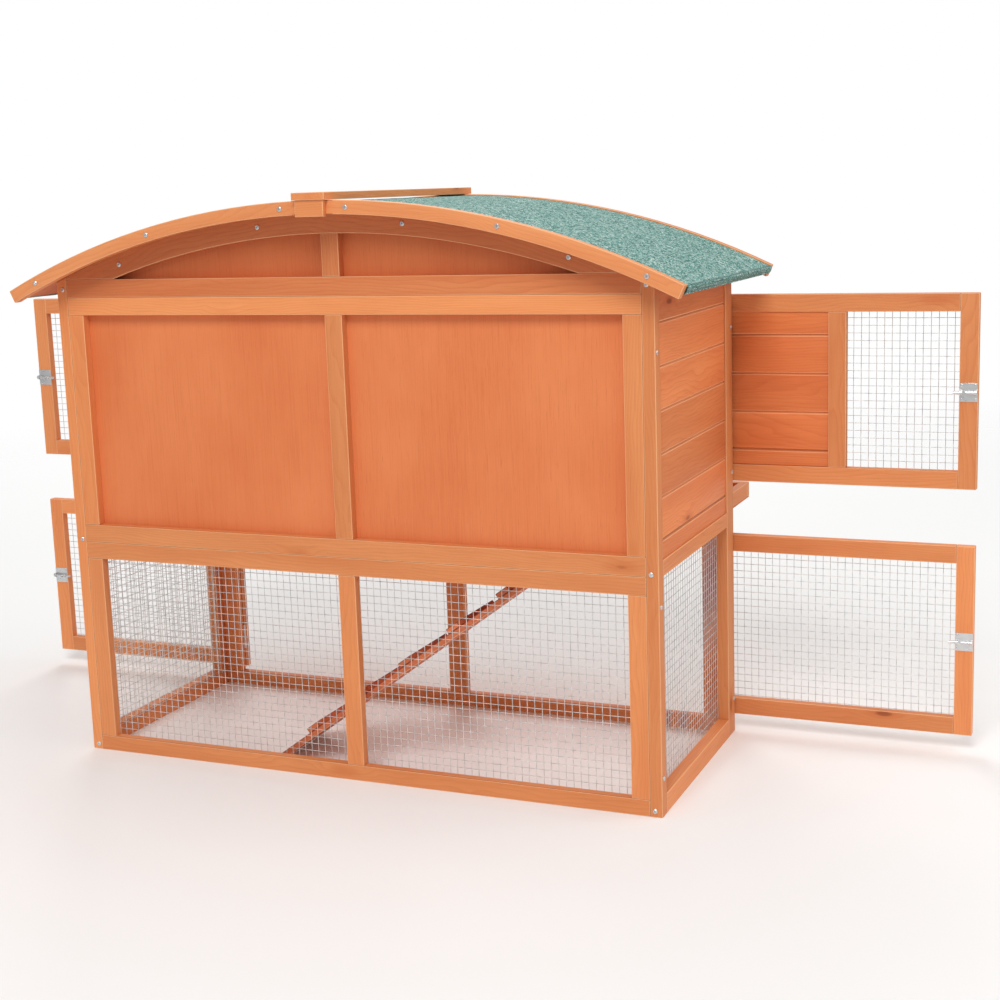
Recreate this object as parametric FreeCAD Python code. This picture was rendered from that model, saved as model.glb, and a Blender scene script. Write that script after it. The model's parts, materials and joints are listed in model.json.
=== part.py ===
import FreeCAD, Part

import math
import os

from FreeCAD import Vector

# Two-storey rabbit hutch with an arched roof, a wire run below and a closed house above.
# Millimetres. The doors face -Y and +Z is up. Left and right are as seen from the front:
# right is +X. Everything is set out about the middle of the body, then moved so that the
# origin is on the floor under the middle of the front frame's bottom rail.
# The hutch is stored with its four doors folded right back and its tray part drawn.

# --- overall sizes -----------------------------------------------------------------
BODY_W = 1070.0            # over the side panels
BODY_D = 436.0             # front face to rear face
LOWER_H = 383.0            # height of the lower storey's frames
EAVE_H = 810.0             # top of the upper storey's frames
GABLE_H = 151.5            # from there to the top of the arched fascia boards
ROOF_RISE = 136.3          # of the fascia boards' top edge, eave to ridge
EAVE_OVERHANG = 61.0       # of the roof past the side panels
GABLE_OVERHANG = 50.0      # of the fascia boards' faces past the body's front and rear

# --- timber sections ---------------------------------------------------------------
FRAME_T = 16.0             # thickness of the front, rear, gable and door frames
SIDE_T = 20.0              # thickness of the side panels' frames
BATTEN = 30.0              # width of an ordinary rail or stile
BOTTOM_RAIL = 27.0
SIDE_BOTTOM_RAIL = 32.0
SILL = 31.0                # rails under the rear panels, the gables and the front upper doors
FRONT_TOP_RAIL = 23.0      # lower front frame, above its doors
FRONT_STILE = 33.0
FRONT_POST = 36.0
REAR_POST = 31.0
REAR_LEG = 24.0            # side panel's rear stile, along Y
FRONT_LEG = 40.0           # side panel's front stile, along Y
SIDE_MID_RAIL = 25.0
SIDE_MID_DROP = 3.0        # underside of its middle rail, below the lower storey's frames
PLY_T = 6.0                # rear and gable panels, partition
PLY_LAP = 15.0             # lap of a ply panel on its frame
PANEL_GAP = 1.25           # between the two rear panels, behind the middle post
MESH_T = 1.2               # welded mesh, over both layers of wire
MESH_LAP = 8.0

# --- tongued and grooved boards ----------------------------------------------------
BOARD_COVER = 66.2
LEAST_RIP = 16.6           # no board is ripped narrower than this
SIDE_RIP = 29.4            # lowest side board, ripped to fill the height
DOOR_RIP = 26.2            # lowest door board
BOARD_T = 12.0
BOARD_SET_BACK = 3.0       # board face behind the frame's face
BOARD_JOINT = 0.4          # gap between two board shoulders
BOARD_V = 2.0              # chamfer beside each joint
TONGUE_T = 3.6
TONGUE_L = 4.5
TONGUE_CLEAR = 0.3
DOOR_BOARD_T = 10.0

# --- roof --------------------------------------------------------------------------
FASCIA_W = 22.0
FASCIA_T = 16.0
FASCIA_PROUD = 2.5         # fascia top edge above the felt
FELT_T = 2.5
DECK_T = 10.0
RIM_IN_DROP = 52.5         # gable rim's lower edge below the fascia's top edge
RIM_CLEAR = 0.3
RIDGE_GAP = 0.6            # between the two halves of the roof
RIDGE_BOARD_W = 58.0
RIDGE_BOARD_T = 12.0
RIDGE_BOARD_OVER = 13.0    # past the fascia's face, at each end
RIDGE_BLOCK_W = 50.0
RIDGE_BLOCK_T = 10.0
RIDGE_BLOCK_H = 25.5

# --- floor, tray and ramp ----------------------------------------------------------
FLOOR_RISE = 4.0           # floor's top above the lower storey's frames
FLOOR_T = 9.0
FLOOR_SIDE_CLEAR = 2.0     # floor and ledgers to the side panels, past their mesh
LEDGER = 16.0
SLOT_H = 38.0              # height of the tray's slot above the lower front frame
TRAY_H = 29.0
TRAY_BOARD = 16.0
TRAY_BASE_T = 3.0
TRAY_LIFT = 1.0            # running clearance above the floor
TRAY_SIDE_CLEAR = 2.0
TRAY_BACK_CLEAR = 6.0
TRAY_DRAWN = 198.0         # how far the tray is drawn out as stored
HOLE_X0 = -330.0           # ramp hole in the floor
HOLE_X1 = -130.0
HOLE_D = 160.0
HOLE_BACK = 22.0           # from the rear frames' inner face
NOTCH_CLEAR = 14.0         # tray's notch outside the hole
RAMP_W = 150.0
RAMP_T = 10.0
RAMP_FOOT_X = 172.0        # where the ramp's lower end stands
RAMP_FOOT_Z = 0.5
RAMP_HINGE_INSET = 14.0
CLEAT_W = 26.0
CLEAT_H = 9.0
CLEAT_PITCH = 112.0
CLEAT_FIRST = 70.0
PARTITION_X = 249.0
PARTITION_GAP = 4.0        # above the tray's slot, and behind the closed doors
PARTITION_BATTEN = 16.0
DOORWAY_W = 150.0
DOORWAY_H = 210.0

# --- doors, hinges and bolts -------------------------------------------------------
DOOR_GAP = 2.5
HINGE_GAP = 1.0            # between the door's hinge edge and the stile
DOOR_MID_STILE = 216.0     # from the hinge edge to the middle stile
KNUCKLE_R = 2.5
KNUCKLE_CLEAR = 0.3        # knuckle to the faces either side
PIN_R = 1.25
PIN_CLEAR = 0.05
LEAF_W = 17.0
LEAF_T = 1.2
HINGE_L = 48.0
HINGE_INSET = 40.0         # from the door's end to the hinge
KNUCKLE_GAP = 0.3
PLATE_W = 29.0
PLATE_H = 31.0
PLATE_T = 1.0
LOOP_W = 4.5
BOLT_R = 2.5
BOLT_CLEAR = 0.1
BOLT_RISE = 4.3            # bolt's axis above the plate's face
LOOP_WALL = 1.5
BOLT_TAIL = 10.0           # past the plate, as retracted
BOLT_SET_IN = 1.0          # tip inside the door's edge, as retracted
KNOB_R = 2.8
KNOB_L = 7.0
KNOB_CLEAR = 0.7           # knob to the loop behind it
KEEPER_W = 9.0
KEEPER_H = 20.7
KEEPER_INNER_X = 5.0
KEEPER_CLEAR = 0.7

# --- screws ------------------------------------------------------------------------
SCREW_R = 3.9
SCREW_H = 1.1
SCREW_CROWN = 0.8          # height of the sloping part of the head
FASCIA_SCREW_X = (58.0, 310.0, 540.0)
RIM_SCREW_X = (130.0, 403.0)
REAR_SCREW_Z = (10.0, 387.0, 824.0)
SIDE_SCREW_Z = (62.0, 335.0, 723.0)
SIDE_FRONT_SCREW_Z = (62.0, 472.0, 723.0)
SCREW_EDGE = 8.0           # screw to the edge of the timber

CUT_PAST = 1.0             # how far a cutting shape runs past the faces that it cuts

# --- derived places ----------------------------------------------------------------
HALF_W = BODY_W / 2
HALF_D = BODY_D / 2
INNER_X = HALF_W - SIDE_T              # inner faces of the side panels
REAR_IN = HALF_D - FRAME_T             # inner face of the rear frames
RIDGE_H = EAVE_H + GABLE_H
ROOF_X = HALF_W + EAVE_OVERHANG
ROOF_RADIUS = (ROOF_X ** 2 + ROOF_RISE ** 2) / (2 * ROOF_RISE)
ROOF_Z = RIDGE_H - ROOF_RADIUS         # height of the roof's centre of curvature
ROOF_ANGLE = math.asin(ROOF_X / ROOF_RADIUS)
FELT_R = ROOF_RADIUS - FASCIA_PROUD
DECK_R = FELT_R - FELT_T
DECK_UNDER_R = DECK_R - DECK_T
RIM_R = DECK_UNDER_R - RIM_CLEAR
RIM_IN_R = ROOF_RADIUS - RIM_IN_DROP
ROOF_Y = HALF_D + GABLE_OVERHANG
DECK_Y = ROOF_Y - FASCIA_T
GABLE_RAIL_TOP = EAVE_H + SILL
SIDE_MID_Z = LOWER_H - SIDE_MID_DROP
SLOT_TOP = LOWER_H + SLOT_H
DECK_TOP = LOWER_H + FLOOR_RISE
FLOOR_X = INNER_X - FLOOR_SIDE_CLEAR
HINGE_X = INNER_X - FRONT_STILE
HINGE_SEAT = KNUCKLE_R + KNUCKLE_CLEAR     # hinge line to the face a leaf lies on
HINGE_Y = -HALF_D - HINGE_SEAT
DOOR_EDGE_X = FRONT_POST / 2 + DOOR_GAP    # free edge of a closed door
DOOR_W = HINGE_X - HINGE_GAP - DOOR_EDGE_X
BOLT_Y = -HALF_D - PLATE_T - BOLT_RISE
BOLT_X = DOOR_EDGE_X + BATTEN / 2
TRAY_Z = DECK_TOP + TRAY_LIFT
TRAY_X = INNER_X - TRAY_SIDE_CLEAR
TRAY_BACK = REAR_IN - PLY_T - TRAY_BACK_CLEAR
HOLE_Y1 = REAR_IN - HOLE_BACK
HOLE_Y0 = HOLE_Y1 - HOLE_D
RAMP_Y0 = (HOLE_Y0 + HOLE_Y1 - RAMP_W) / 2
RAMP_HINGE_Z = DECK_TOP - FLOOR_T - HINGE_SEAT
STOREYS = {
    "upper": (SLOT_TOP + BATTEN + DOOR_GAP, EAVE_H - BATTEN - DOOR_GAP),
    "lower": (BOTTOM_RAIL + DOOR_GAP, LOWER_H - FRONT_TOP_RAIL - DOOR_GAP),
}


def box(x0, x1, y0, y1, z0, z1):
    return Part.makeBox(x1 - x0, y1 - y0, z1 - z0, Vector(x0, y0, z0))


def prism(points, run):
    """A straight prism: closed outline of points, carried along the vector run."""
    wire = Part.makePolygon(points + points[:1])
    return Part.Face(wire).extrude(run)


def roof_point(radius, angle, y):
    return Vector(radius * math.sin(angle), y, ROOF_Z + radius * math.cos(angle))


def arc(radius, start, end, y):
    middle = (start + end) / 2
    ends = [roof_point(radius, angle, y) for angle in (start, middle, end)]
    return Part.Arc(*ends).toShape()


def band(inner, outer, start, end, y0, y1):
    """A curved board that follows the roof's arch between two radii and two angles."""
    edges = [
        arc(outer, start, end, y0),
        Part.makeLine(roof_point(outer, end, y0), roof_point(inner, end, y0)),
        arc(inner, end, start, y0),
        Part.makeLine(roof_point(inner, start, y0), roof_point(outer, start, y0)),
    ]
    return Part.Face(Part.Wire(edges)).extrude(Vector(0, y1 - y0, 0))


def arch_cylinder(radius, y0, y1):
    return Part.makeCylinder(radius, y1 - y0, Vector(0, y0, ROOF_Z), Vector(0, 1, 0))


def mirrored(shapes):
    """The same pieces for the other end of the hutch."""
    return [shape.mirror(Vector(0, 0, 0), Vector(1, 0, 0)) for shape in shapes]


def flipped(shapes):
    """The same pieces for the other face, front for rear."""
    return [shape.mirror(Vector(0, 0, 0), Vector(0, 1, 0)) for shape in shapes]


def board(x_face, inwards, thickness, z0, z1, tongue, groove):
    """Outline of one horizontal board: its face at x_face, its back towards inwards."""
    back = x_face + inwards * thickness
    vee = x_face + inwards * BOARD_V
    mid = x_face + inwards * thickness / 2
    low = z0 + (BOARD_JOINT / 2 if groove else 0)
    high = z1 - (BOARD_JOINT / 2 if tongue else 0)
    half = TONGUE_T / 2
    outline = [Vector(x_face, 0, low + (BOARD_V if groove else 0))]
    if groove:
        depth = TONGUE_L + TONGUE_CLEAR
        wide = half + TONGUE_CLEAR
        outline.append(Vector(vee, 0, low))
        outline.append(Vector(mid - inwards * wide, 0, low))
        outline.append(Vector(mid - inwards * wide, 0, low + depth))
        outline.append(Vector(mid + inwards * wide, 0, low + depth))
        outline.append(Vector(mid + inwards * wide, 0, low))
    outline.append(Vector(back, 0, low))
    outline.append(Vector(back, 0, high))
    if tongue:
        outline.append(Vector(mid + inwards * half, 0, high))
        outline.append(Vector(mid + inwards * half, 0, high + TONGUE_L))
        outline.append(Vector(mid - inwards * half, 0, high + TONGUE_L))
        outline.append(Vector(mid - inwards * half, 0, high))
        outline.append(Vector(vee, 0, high))
    outline.append(Vector(x_face, 0, high - (BOARD_V if tongue else 0)))
    return outline


def board_levels(low, rip, high):
    """Heights of the boards' joints, from a ripped lowest board to the top."""
    levels = [low]
    seam = low + rip
    while seam < high - LEAST_RIP:
        levels.append(seam)
        seam += BOARD_COVER
    return levels + [high]


def boarding(x_face, inwards, thickness, z_levels, run):
    """Boards stacked from the lowest level to the highest, tongues up."""
    boards = []
    last = len(z_levels) - 2
    for i, (z0, z1) in enumerate(zip(z_levels, z_levels[1:])):
        outline = board(x_face, inwards, thickness, z0, z1, i < last, i > 0)
        boards.append(prism(outline, run))
    return boards


def framed(x0, x1, y0, y1, z0, z1, bottom, top, stiles, posts):
    """A panel frame: rails run through, stiles and posts stand between them."""
    pieces = [
        box(x0, x1, y0, y1, z0, z0 + bottom),
        box(x0, x1, y0, y1, z1 - top, z1),
        box(x0, x0 + stiles, y0, y1, z0 + bottom, z1 - top),
        box(x1 - stiles, x1, y0, y1, z0 + bottom, z1 - top),
    ]
    for centre, width in posts:
        half = width / 2
        pieces.append(box(centre - half, centre + half, y0, y1, z0 + bottom, z1 - top))
    return pieces


def side_panel():
    """The +X end of the body: legs, rails, boards above and mesh below."""
    y0 = -HALF_D + FRONT_LEG
    y1 = HALF_D - REAR_LEG
    low = SIDE_MID_Z + SIDE_MID_RAIL
    tall = [
        box(INNER_X, HALF_W, -HALF_D, y0, 0, RIDGE_H),
        box(INNER_X, HALF_W, y1, HALF_D, 0, RIDGE_H),
    ]
    under_roof = arch_cylinder(RIM_R, -HALF_D, HALF_D)
    below = box(INNER_X, HALF_W, -HALF_D, HALF_D, 0, EAVE_H)
    frame = [leg.common(under_roof.fuse(below)).removeSplitter().Solids[0] for leg in tall]
    frame.append(box(INNER_X, HALF_W, y0, y1, 0, SIDE_BOTTOM_RAIL))
    frame.append(box(INNER_X, HALF_W, y0, y1, SIDE_MID_Z, low))
    x_face = HALF_W - BOARD_SET_BACK
    ceiling = math.sqrt(RIM_R ** 2 - x_face ** 2) + ROOF_Z
    levels = board_levels(low, SIDE_RIP, ceiling)
    levels[-1] = min(ceiling, levels[-2] + BOARD_COVER)
    boards = boarding(x_face, -1, BOARD_T, levels, Vector(0, y1 - y0, 0))
    for piece in boards:
        piece.translate(Vector(0, y0, 0))
    mesh = box(
        INNER_X - MESH_T, INNER_X, y0 - MESH_LAP, REAR_IN - MESH_T,
        SIDE_BOTTOM_RAIL - MESH_LAP, SIDE_MID_Z + MESH_LAP,
    )
    return frame, boards, [mesh]


def rear_lower():
    frame = framed(
        -INNER_X, INNER_X, REAR_IN, HALF_D, 0, LOWER_H, BOTTOM_RAIL, BATTEN, BATTEN,
        [(0, REAR_POST)],
    )
    mesh = box(
        REAR_POST / 2 - MESH_LAP, INNER_X - BATTEN + MESH_LAP, REAR_IN - MESH_T, REAR_IN,
        BOTTOM_RAIL - MESH_LAP, LOWER_H - BATTEN + MESH_LAP,
    )
    return frame, [mesh]


def rear_upper():
    frame = framed(
        -INNER_X, INNER_X, REAR_IN, HALF_D, LOWER_H, EAVE_H, SILL, BATTEN, BATTEN,
        [(0, REAR_POST)],
    )
    panel = box(
        PANEL_GAP / 2, INNER_X - BATTEN + PLY_LAP, REAR_IN - PLY_T, REAR_IN,
        LOWER_H + SILL - PLY_LAP, EAVE_H - BATTEN + PLY_LAP,
    )
    return frame, [panel] + mirrored([panel])


def gable():
    """The rear gable: a rail, an arched rim, a short post and the ply behind them."""
    width = 2 * INNER_X
    disc = arch_cylinder(RIM_R, REAR_IN, HALF_D)
    rail = box(-INNER_X, INNER_X, REAR_IN, HALF_D, EAVE_H, GABLE_RAIL_TOP).common(disc)
    upright = Part.makeBox(width, FRAME_T, RIDGE_H, Vector(-INNER_X, REAR_IN, GABLE_RAIL_TOP))
    hollow = arch_cylinder(RIM_IN_R, REAR_IN - CUT_PAST, HALF_D + CUT_PAST)
    rim = disc.common(upright).cut(hollow)
    half = REAR_POST / 2
    stub = box(-half, half, REAR_IN, HALF_D, GABLE_RAIL_TOP, RIDGE_H)
    stub = stub.common(arch_cylinder(RIM_IN_R, REAR_IN, HALF_D))
    ply_z = GABLE_RAIL_TOP - PLY_LAP
    blank = Part.makeBox(width, PLY_T, RIDGE_H, Vector(-INNER_X, REAR_IN - PLY_T, ply_z))
    ply = blank.common(arch_cylinder(RIM_IN_R + PLY_LAP, REAR_IN - PLY_T, REAR_IN))
    return rail.Solids + stub.Solids + rim.Solids, ply.Solids


def front_frames():
    lower = framed(
        -INNER_X, INNER_X, -HALF_D, -REAR_IN, 0, LOWER_H, BOTTOM_RAIL, FRONT_TOP_RAIL,
        FRONT_STILE, [(0, FRONT_POST)],
    )
    upper = framed(
        -INNER_X, INNER_X, -HALF_D, -REAR_IN, SLOT_TOP, EAVE_H, BATTEN, BATTEN,
        FRONT_STILE, [(0, FRONT_POST)],
    )
    return lower, upper


def floor():
    z0 = DECK_TOP - FLOOR_T
    deck = box(-FLOOR_X, FLOOR_X, -REAR_IN, REAR_IN, z0, DECK_TOP)
    hole = box(HOLE_X0, HOLE_X1, HOLE_Y0, HOLE_Y1, z0 - CUT_PAST, DECK_TOP + CUT_PAST)
    deck = deck.cut(hole)
    ledger = box(-FLOOR_X, FLOOR_X, REAR_IN - LEDGER, REAR_IN, z0 - LEDGER, z0)
    return deck.Solids, [ledger] + flipped([ledger])


def partition():
    """Wall of the sleeping end, hung from a batten, with a doorway at its foot."""
    z0 = SLOT_TOP + PARTITION_GAP
    x0 = PARTITION_X - PLY_T / 2
    x1 = x0 + PLY_T
    y0 = -REAR_IN + PARTITION_GAP
    y1 = REAR_IN - PLY_T
    half = DOORWAY_W / 2
    spring = z0 + DOORWAY_H - half
    wall = box(x0, x1, y0, y1, z0, EAVE_H)
    cut_x0 = x0 - CUT_PAST
    cut_x1 = x1 + CUT_PAST
    wall = wall.cut(box(cut_x0, cut_x1, -half, half, z0 - CUT_PAST, spring))
    head = Part.makeCylinder(half, cut_x1 - cut_x0, Vector(cut_x0, 0, spring), Vector(1, 0, 0))
    wall = wall.cut(head)
    z1 = EAVE_H - BATTEN + PLY_LAP
    batten = box(x1, x1 + PARTITION_BATTEN, -REAR_IN, y1, z1 - PARTITION_BATTEN, z1)
    return wall.Solids, [batten]


def roof_half():
    """The +X half of the roof: bent deck, felt turned over the eave, two fascia boards."""
    start = RIDGE_GAP / 2 / ROOF_RADIUS
    turn = ROOF_ANGLE + FELT_T / DECK_R
    deck = band(DECK_UNDER_R, DECK_R, start, ROOF_ANGLE, -DECK_Y, DECK_Y)
    sheet = band(DECK_R, FELT_R, start, turn, -DECK_Y, DECK_Y)
    lip = band(DECK_UNDER_R, DECK_R, ROOF_ANGLE, turn, -DECK_Y, DECK_Y)
    felt = sheet.fuse(lip).removeSplitter()
    fascia = band(
        ROOF_RADIUS - FASCIA_W, ROOF_RADIUS, start, ROOF_ANGLE, DECK_Y, ROOF_Y,
    )
    return [deck], felt.Solids, [fascia]


def ridge():
    half = RIDGE_BOARD_W / 2
    reach = ROOF_Y + RIDGE_BOARD_OVER
    cap = box(-half, half, -reach, reach, RIDGE_H, RIDGE_H + RIDGE_BOARD_T)
    half = RIDGE_BLOCK_W / 2
    block = box(
        -half, half, ROOF_Y, ROOF_Y + RIDGE_BLOCK_T, RIDGE_H - RIDGE_BLOCK_H, RIDGE_H,
    )
    return [cap], [block] + flipped([block])


def tray():
    """Shallow drawer over the whole floor, with a notch that clears the ramp hole."""
    front = -HALF_D
    y_in = HOLE_Y0 - NOTCH_CLEAR
    x_in = (HOLE_X0 - NOTCH_CLEAR, HOLE_X1 + NOTCH_CLEAR)
    z0 = TRAY_Z + TRAY_BASE_T
    z1 = TRAY_Z + TRAY_H
    wall = TRAY_BOARD
    base = box(-TRAY_X, TRAY_X, front, TRAY_BACK, TRAY_Z, z0)
    notch = box(
        x_in[0], x_in[1], y_in, TRAY_BACK + CUT_PAST, TRAY_Z - CUT_PAST, z0 + CUT_PAST,
    )
    base = base.cut(notch)
    boards = [
        box(-TRAY_X, TRAY_X, front, front + wall, z0, z1),
        box(-TRAY_X, -TRAY_X + wall, front + wall, TRAY_BACK, z0, z1),
        box(TRAY_X - wall, TRAY_X, front + wall, TRAY_BACK, z0, z1),
        box(-TRAY_X + wall, x_in[0] - wall, TRAY_BACK - wall, TRAY_BACK, z0, z1),
        box(x_in[1] + wall, TRAY_X - wall, TRAY_BACK - wall, TRAY_BACK, z0, z1),
        box(x_in[0] - wall, x_in[0], y_in - wall, TRAY_BACK, z0, z1),
        box(x_in[1], x_in[1] + wall, y_in - wall, TRAY_BACK, z0, z1),
        box(x_in[0], x_in[1], y_in - wall, y_in, z0, z1),
    ]
    pieces = [base.Solids, boards]
    for group in pieces:
        for piece in group:
            piece.translate(Vector(0, -TRAY_DRAWN, 0))
    return pieces


def hinge(length, reach):
    """Butt hinge on the Z axis, laid flat: both leaves' faces are at y = HINGE_SEAT.

    Returns the half with the pin, whose leaf runs to -X, and the half that turns on it,
    whose leaf runs to +X.
    """
    y0 = HINGE_SEAT - LEAF_T
    third = length / 3
    gap = KNUCKLE_GAP / 2
    up = Vector(0, 0, 1)
    pinned = box(-reach, -HINGE_SEAT, y0, HINGE_SEAT, 0, length)
    fused = [Part.makeCylinder(PIN_R, length, Vector(0, 0, 0), up)]
    for z0, z1 in ((0, third - gap), (2 * third + gap, length)):
        fused.append(Part.makeCylinder(KNUCKLE_R, z1 - z0, Vector(0, 0, z0), up))
        fused.append(box(-HINGE_SEAT, 0, y0, HINGE_SEAT, z0, z1))
    pinned = pinned.multiFuse(fused).removeSplitter()
    z0 = third + gap
    z1 = 2 * third - gap
    turning = box(HINGE_SEAT, reach, y0, HINGE_SEAT, 0, length)
    barrel = Part.makeCylinder(KNUCKLE_R, z1 - z0, Vector(0, 0, z0), up)
    turning = turning.multiFuse([barrel, box(0, HINGE_SEAT, y0, HINGE_SEAT, z0, z1)])
    bore = Part.makeCylinder(PIN_R + PIN_CLEAR, length, Vector(0, 0, 0), up)
    turning = turning.cut(bore).removeSplitter()
    return pinned.Solids, turning.Solids


def placed(shapes, offset):
    moved = [shape.copy() for shape in shapes]
    for shape in moved:
        shape.translate(offset)
    return moved


def door_hinges(z0, z1):
    """Both hinges of the right-hand door, closed: fixed halves and turning halves."""
    pinned, turning = [mirrored(half) for half in hinge(HINGE_L, LEAF_W)]
    fixed_half = []
    door_half = []
    for z in (z0 + HINGE_INSET, z1 - HINGE_INSET - HINGE_L):
        offset = Vector(HINGE_X, HINGE_Y, z)
        fixed_half += placed(pinned, offset)
        door_half += placed(turning, offset)
    return fixed_half, door_half


def strap(x0, x1, z, plate_x, plate_half, bore):
    """Plate on the frame's face with one raised loop on it from x0 to x1."""
    outer = bore + LOOP_WALL
    along = Vector(1, 0, 0)
    face = -HALF_D - PLATE_T
    plate = box(plate_x[0], plate_x[1], face, -HALF_D, z - plate_half, z + plate_half)
    crown = Part.makeCylinder(outer, x1 - x0, Vector(x0, BOLT_Y, z), along)
    stand = box(x0, x1, BOLT_Y, face, z - outer, z + outer)
    solid = plate.multiFuse([crown, stand])
    return solid.cut(Part.makeCylinder(bore, x1 - x0, Vector(x0, BOLT_Y, z), along))


def latch(z):
    """Barrel bolt of the right-hand door, closed, with its bolt drawn back."""
    x0 = BOLT_X - PLATE_W / 2
    x1 = BOLT_X + PLATE_W / 2
    bore = BOLT_R + BOLT_CLEAR
    loops = [strap(x, x + LOOP_W, z, (x0, x1), PLATE_H / 2, bore) for x in (x0, x1 - LOOP_W)]
    housing = loops[0].fuse(loops[1]).removeSplitter()
    tip = DOOR_EDGE_X + BOLT_SET_IN
    rod = Part.makeCylinder(BOLT_R, x1 + BOLT_TAIL - tip, Vector(tip, BOLT_Y, z), Vector(1, 0, 0))
    knob_at = Vector(x1 - LOOP_W - KNOB_CLEAR - KNOB_R, BOLT_Y, z)
    knob = Part.makeCylinder(KNOB_R, BOLT_R + KNOB_L, knob_at, Vector(0, -1, 0))
    return housing.Solids, rod.fuse(knob).removeSplitter().Solids


def keeper(z):
    """Strap on the front post that takes the right-hand door's bolt."""
    x0 = KEEPER_INNER_X
    x1 = x0 + KEEPER_W
    bored = strap(x0, x1, z, (x0, x1), KEEPER_H / 2, BOLT_R + KEEPER_CLEAR)
    return bored.removeSplitter().Solids


def door(z0, z1, boarded):
    """The right-hand door of a storey, closed. Stiles run through."""
    x0 = DOOR_EDGE_X
    x1 = DOOR_EDGE_X + DOOR_W
    y0 = -HALF_D
    y1 = y0 + FRAME_T
    frame = [
        box(x0, x0 + BATTEN, y0, y1, z0, z1),
        box(x1 - BATTEN, x1, y0, y1, z0, z1),
        box(x0 + BATTEN, x1 - BATTEN, y0, y1, z0, z0 + BATTEN),
        box(x0 + BATTEN, x1 - BATTEN, y0, y1, z1 - BATTEN, z1),
    ]
    mesh_x1 = x1 - BATTEN
    parts = {}
    if boarded:
        stile_x1 = x1 - DOOR_MID_STILE
        stile_x0 = stile_x1 - BATTEN
        frame.append(box(stile_x0, stile_x1, y0, y1, z0 + BATTEN, z1 - BATTEN))
        mesh_x1 = stile_x0
        levels = board_levels(z0 + BATTEN, DOOR_RIP, z1 - BATTEN)
        length = x1 - BATTEN - stile_x1
        boards = boarding(0, -1, DOOR_BOARD_T, levels, Vector(0, length, 0))
        for piece in boards:
            piece.rotate(Vector(0, 0, 0), Vector(0, 0, 1), -90)
            piece.translate(Vector(stile_x1, y0 + BOARD_SET_BACK, 0))
        parts["boards"] = boards
    parts["frame"] = frame
    parts["mesh"] = [box(
        x0 + BATTEN - MESH_LAP, mesh_x1 + MESH_LAP, y1, y1 + MESH_T,
        z0 + BATTEN - MESH_LAP, z1 - BATTEN + MESH_LAP,
    )]
    return parts


def opened(shapes):
    """A right-hand door's pieces, turned right back on the hinge."""
    for shape in shapes:
        shape.rotate(Vector(HINGE_X, HINGE_Y, 0), Vector(0, 0, 1), -180)
    return shapes


def doors():
    nodes = {}
    fixed_hinges = []
    keepers = []
    for storey, (z0, z1) in STOREYS.items():
        middle = (z0 + z1) / 2
        pinned, turning = door_hinges(z0, z1)
        housing, bolt = latch(middle)
        parts = door(z0, z1, storey == "upper")
        parts["hinges"] = turning
        parts["latch"] = housing
        parts["bolt"] = bolt
        fixed_hinges += pinned + mirrored(pinned)
        taken = keeper(middle)
        keepers += taken + mirrored(taken)
        for part, shapes in parts.items():
            shapes = opened(shapes)
            nodes[f"{storey}_right_door_{part}"] = shapes
            nodes[f"{storey}_left_door_{part}"] = mirrored(shapes)
    nodes["door_hinges_fixed"] = fixed_hinges
    nodes["bolt_keepers"] = keepers
    return nodes


def ramp():
    """Ramp on two hinges under the edge of the hole, its foot just off the floor."""
    top = HINGE_SEAT - LEAF_T
    below = RAMP_T - top
    run = RAMP_FOOT_X - HOLE_X0
    drop = RAMP_HINGE_Z - RAMP_FOOT_Z
    span = math.hypot(run, drop)
    slope = math.degrees(math.atan2(drop, run) - math.asin(below / span))
    length = math.sqrt(span ** 2 - below ** 2)
    y1 = RAMP_Y0 + RAMP_W
    plank = box(HINGE_SEAT, length, RAMP_Y0, y1, -below, top)
    cleats = []
    start = CLEAT_FIRST
    while start + 2 * CLEAT_W < length:
        cleats.append(box(start, start + CLEAT_W, RAMP_Y0, y1, top, top + CLEAT_H))
        start += CLEAT_PITCH
    halves = hinge(HINGE_L, LEAF_W)
    hinges = ([], [])
    for y in (RAMP_Y0 + RAMP_HINGE_INSET + HINGE_L, y1 - RAMP_HINGE_INSET):
        for half, group in zip(halves, hinges):
            laid = placed(half, Vector(0, 0, 0))
            for shape in laid:
                shape.rotate(Vector(0, 0, 0), Vector(1, 0, 0), 90)
            group.extend(placed(laid, Vector(0, y, 0)))
    at = Vector(HOLE_X0, 0, RAMP_HINGE_Z)
    for shape in [plank] + cleats + hinges[1]:
        shape.rotate(Vector(0, 0, 0), Vector(0, 1, 0), slope)
    return {
        "ramp_board": placed([plank], at),
        "ramp_cleats": placed(cleats, at),
        "ramp_hinges": placed(hinges[1], at),
        "ramp_hinges_fixed": placed(hinges[0], at),
    }


def screw(at, normal):
    """Pan head standing on a face: a short cylinder with a sloping crown."""
    head = Part.makeCylinder(SCREW_R, SCREW_H, at, normal)
    top = at + normal * SCREW_H
    crown = Part.makeCone(SCREW_R, SCREW_R - SCREW_CROWN, SCREW_CROWN, top, normal)
    return head.fuse(crown).removeSplitter().Solids[0]


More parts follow.
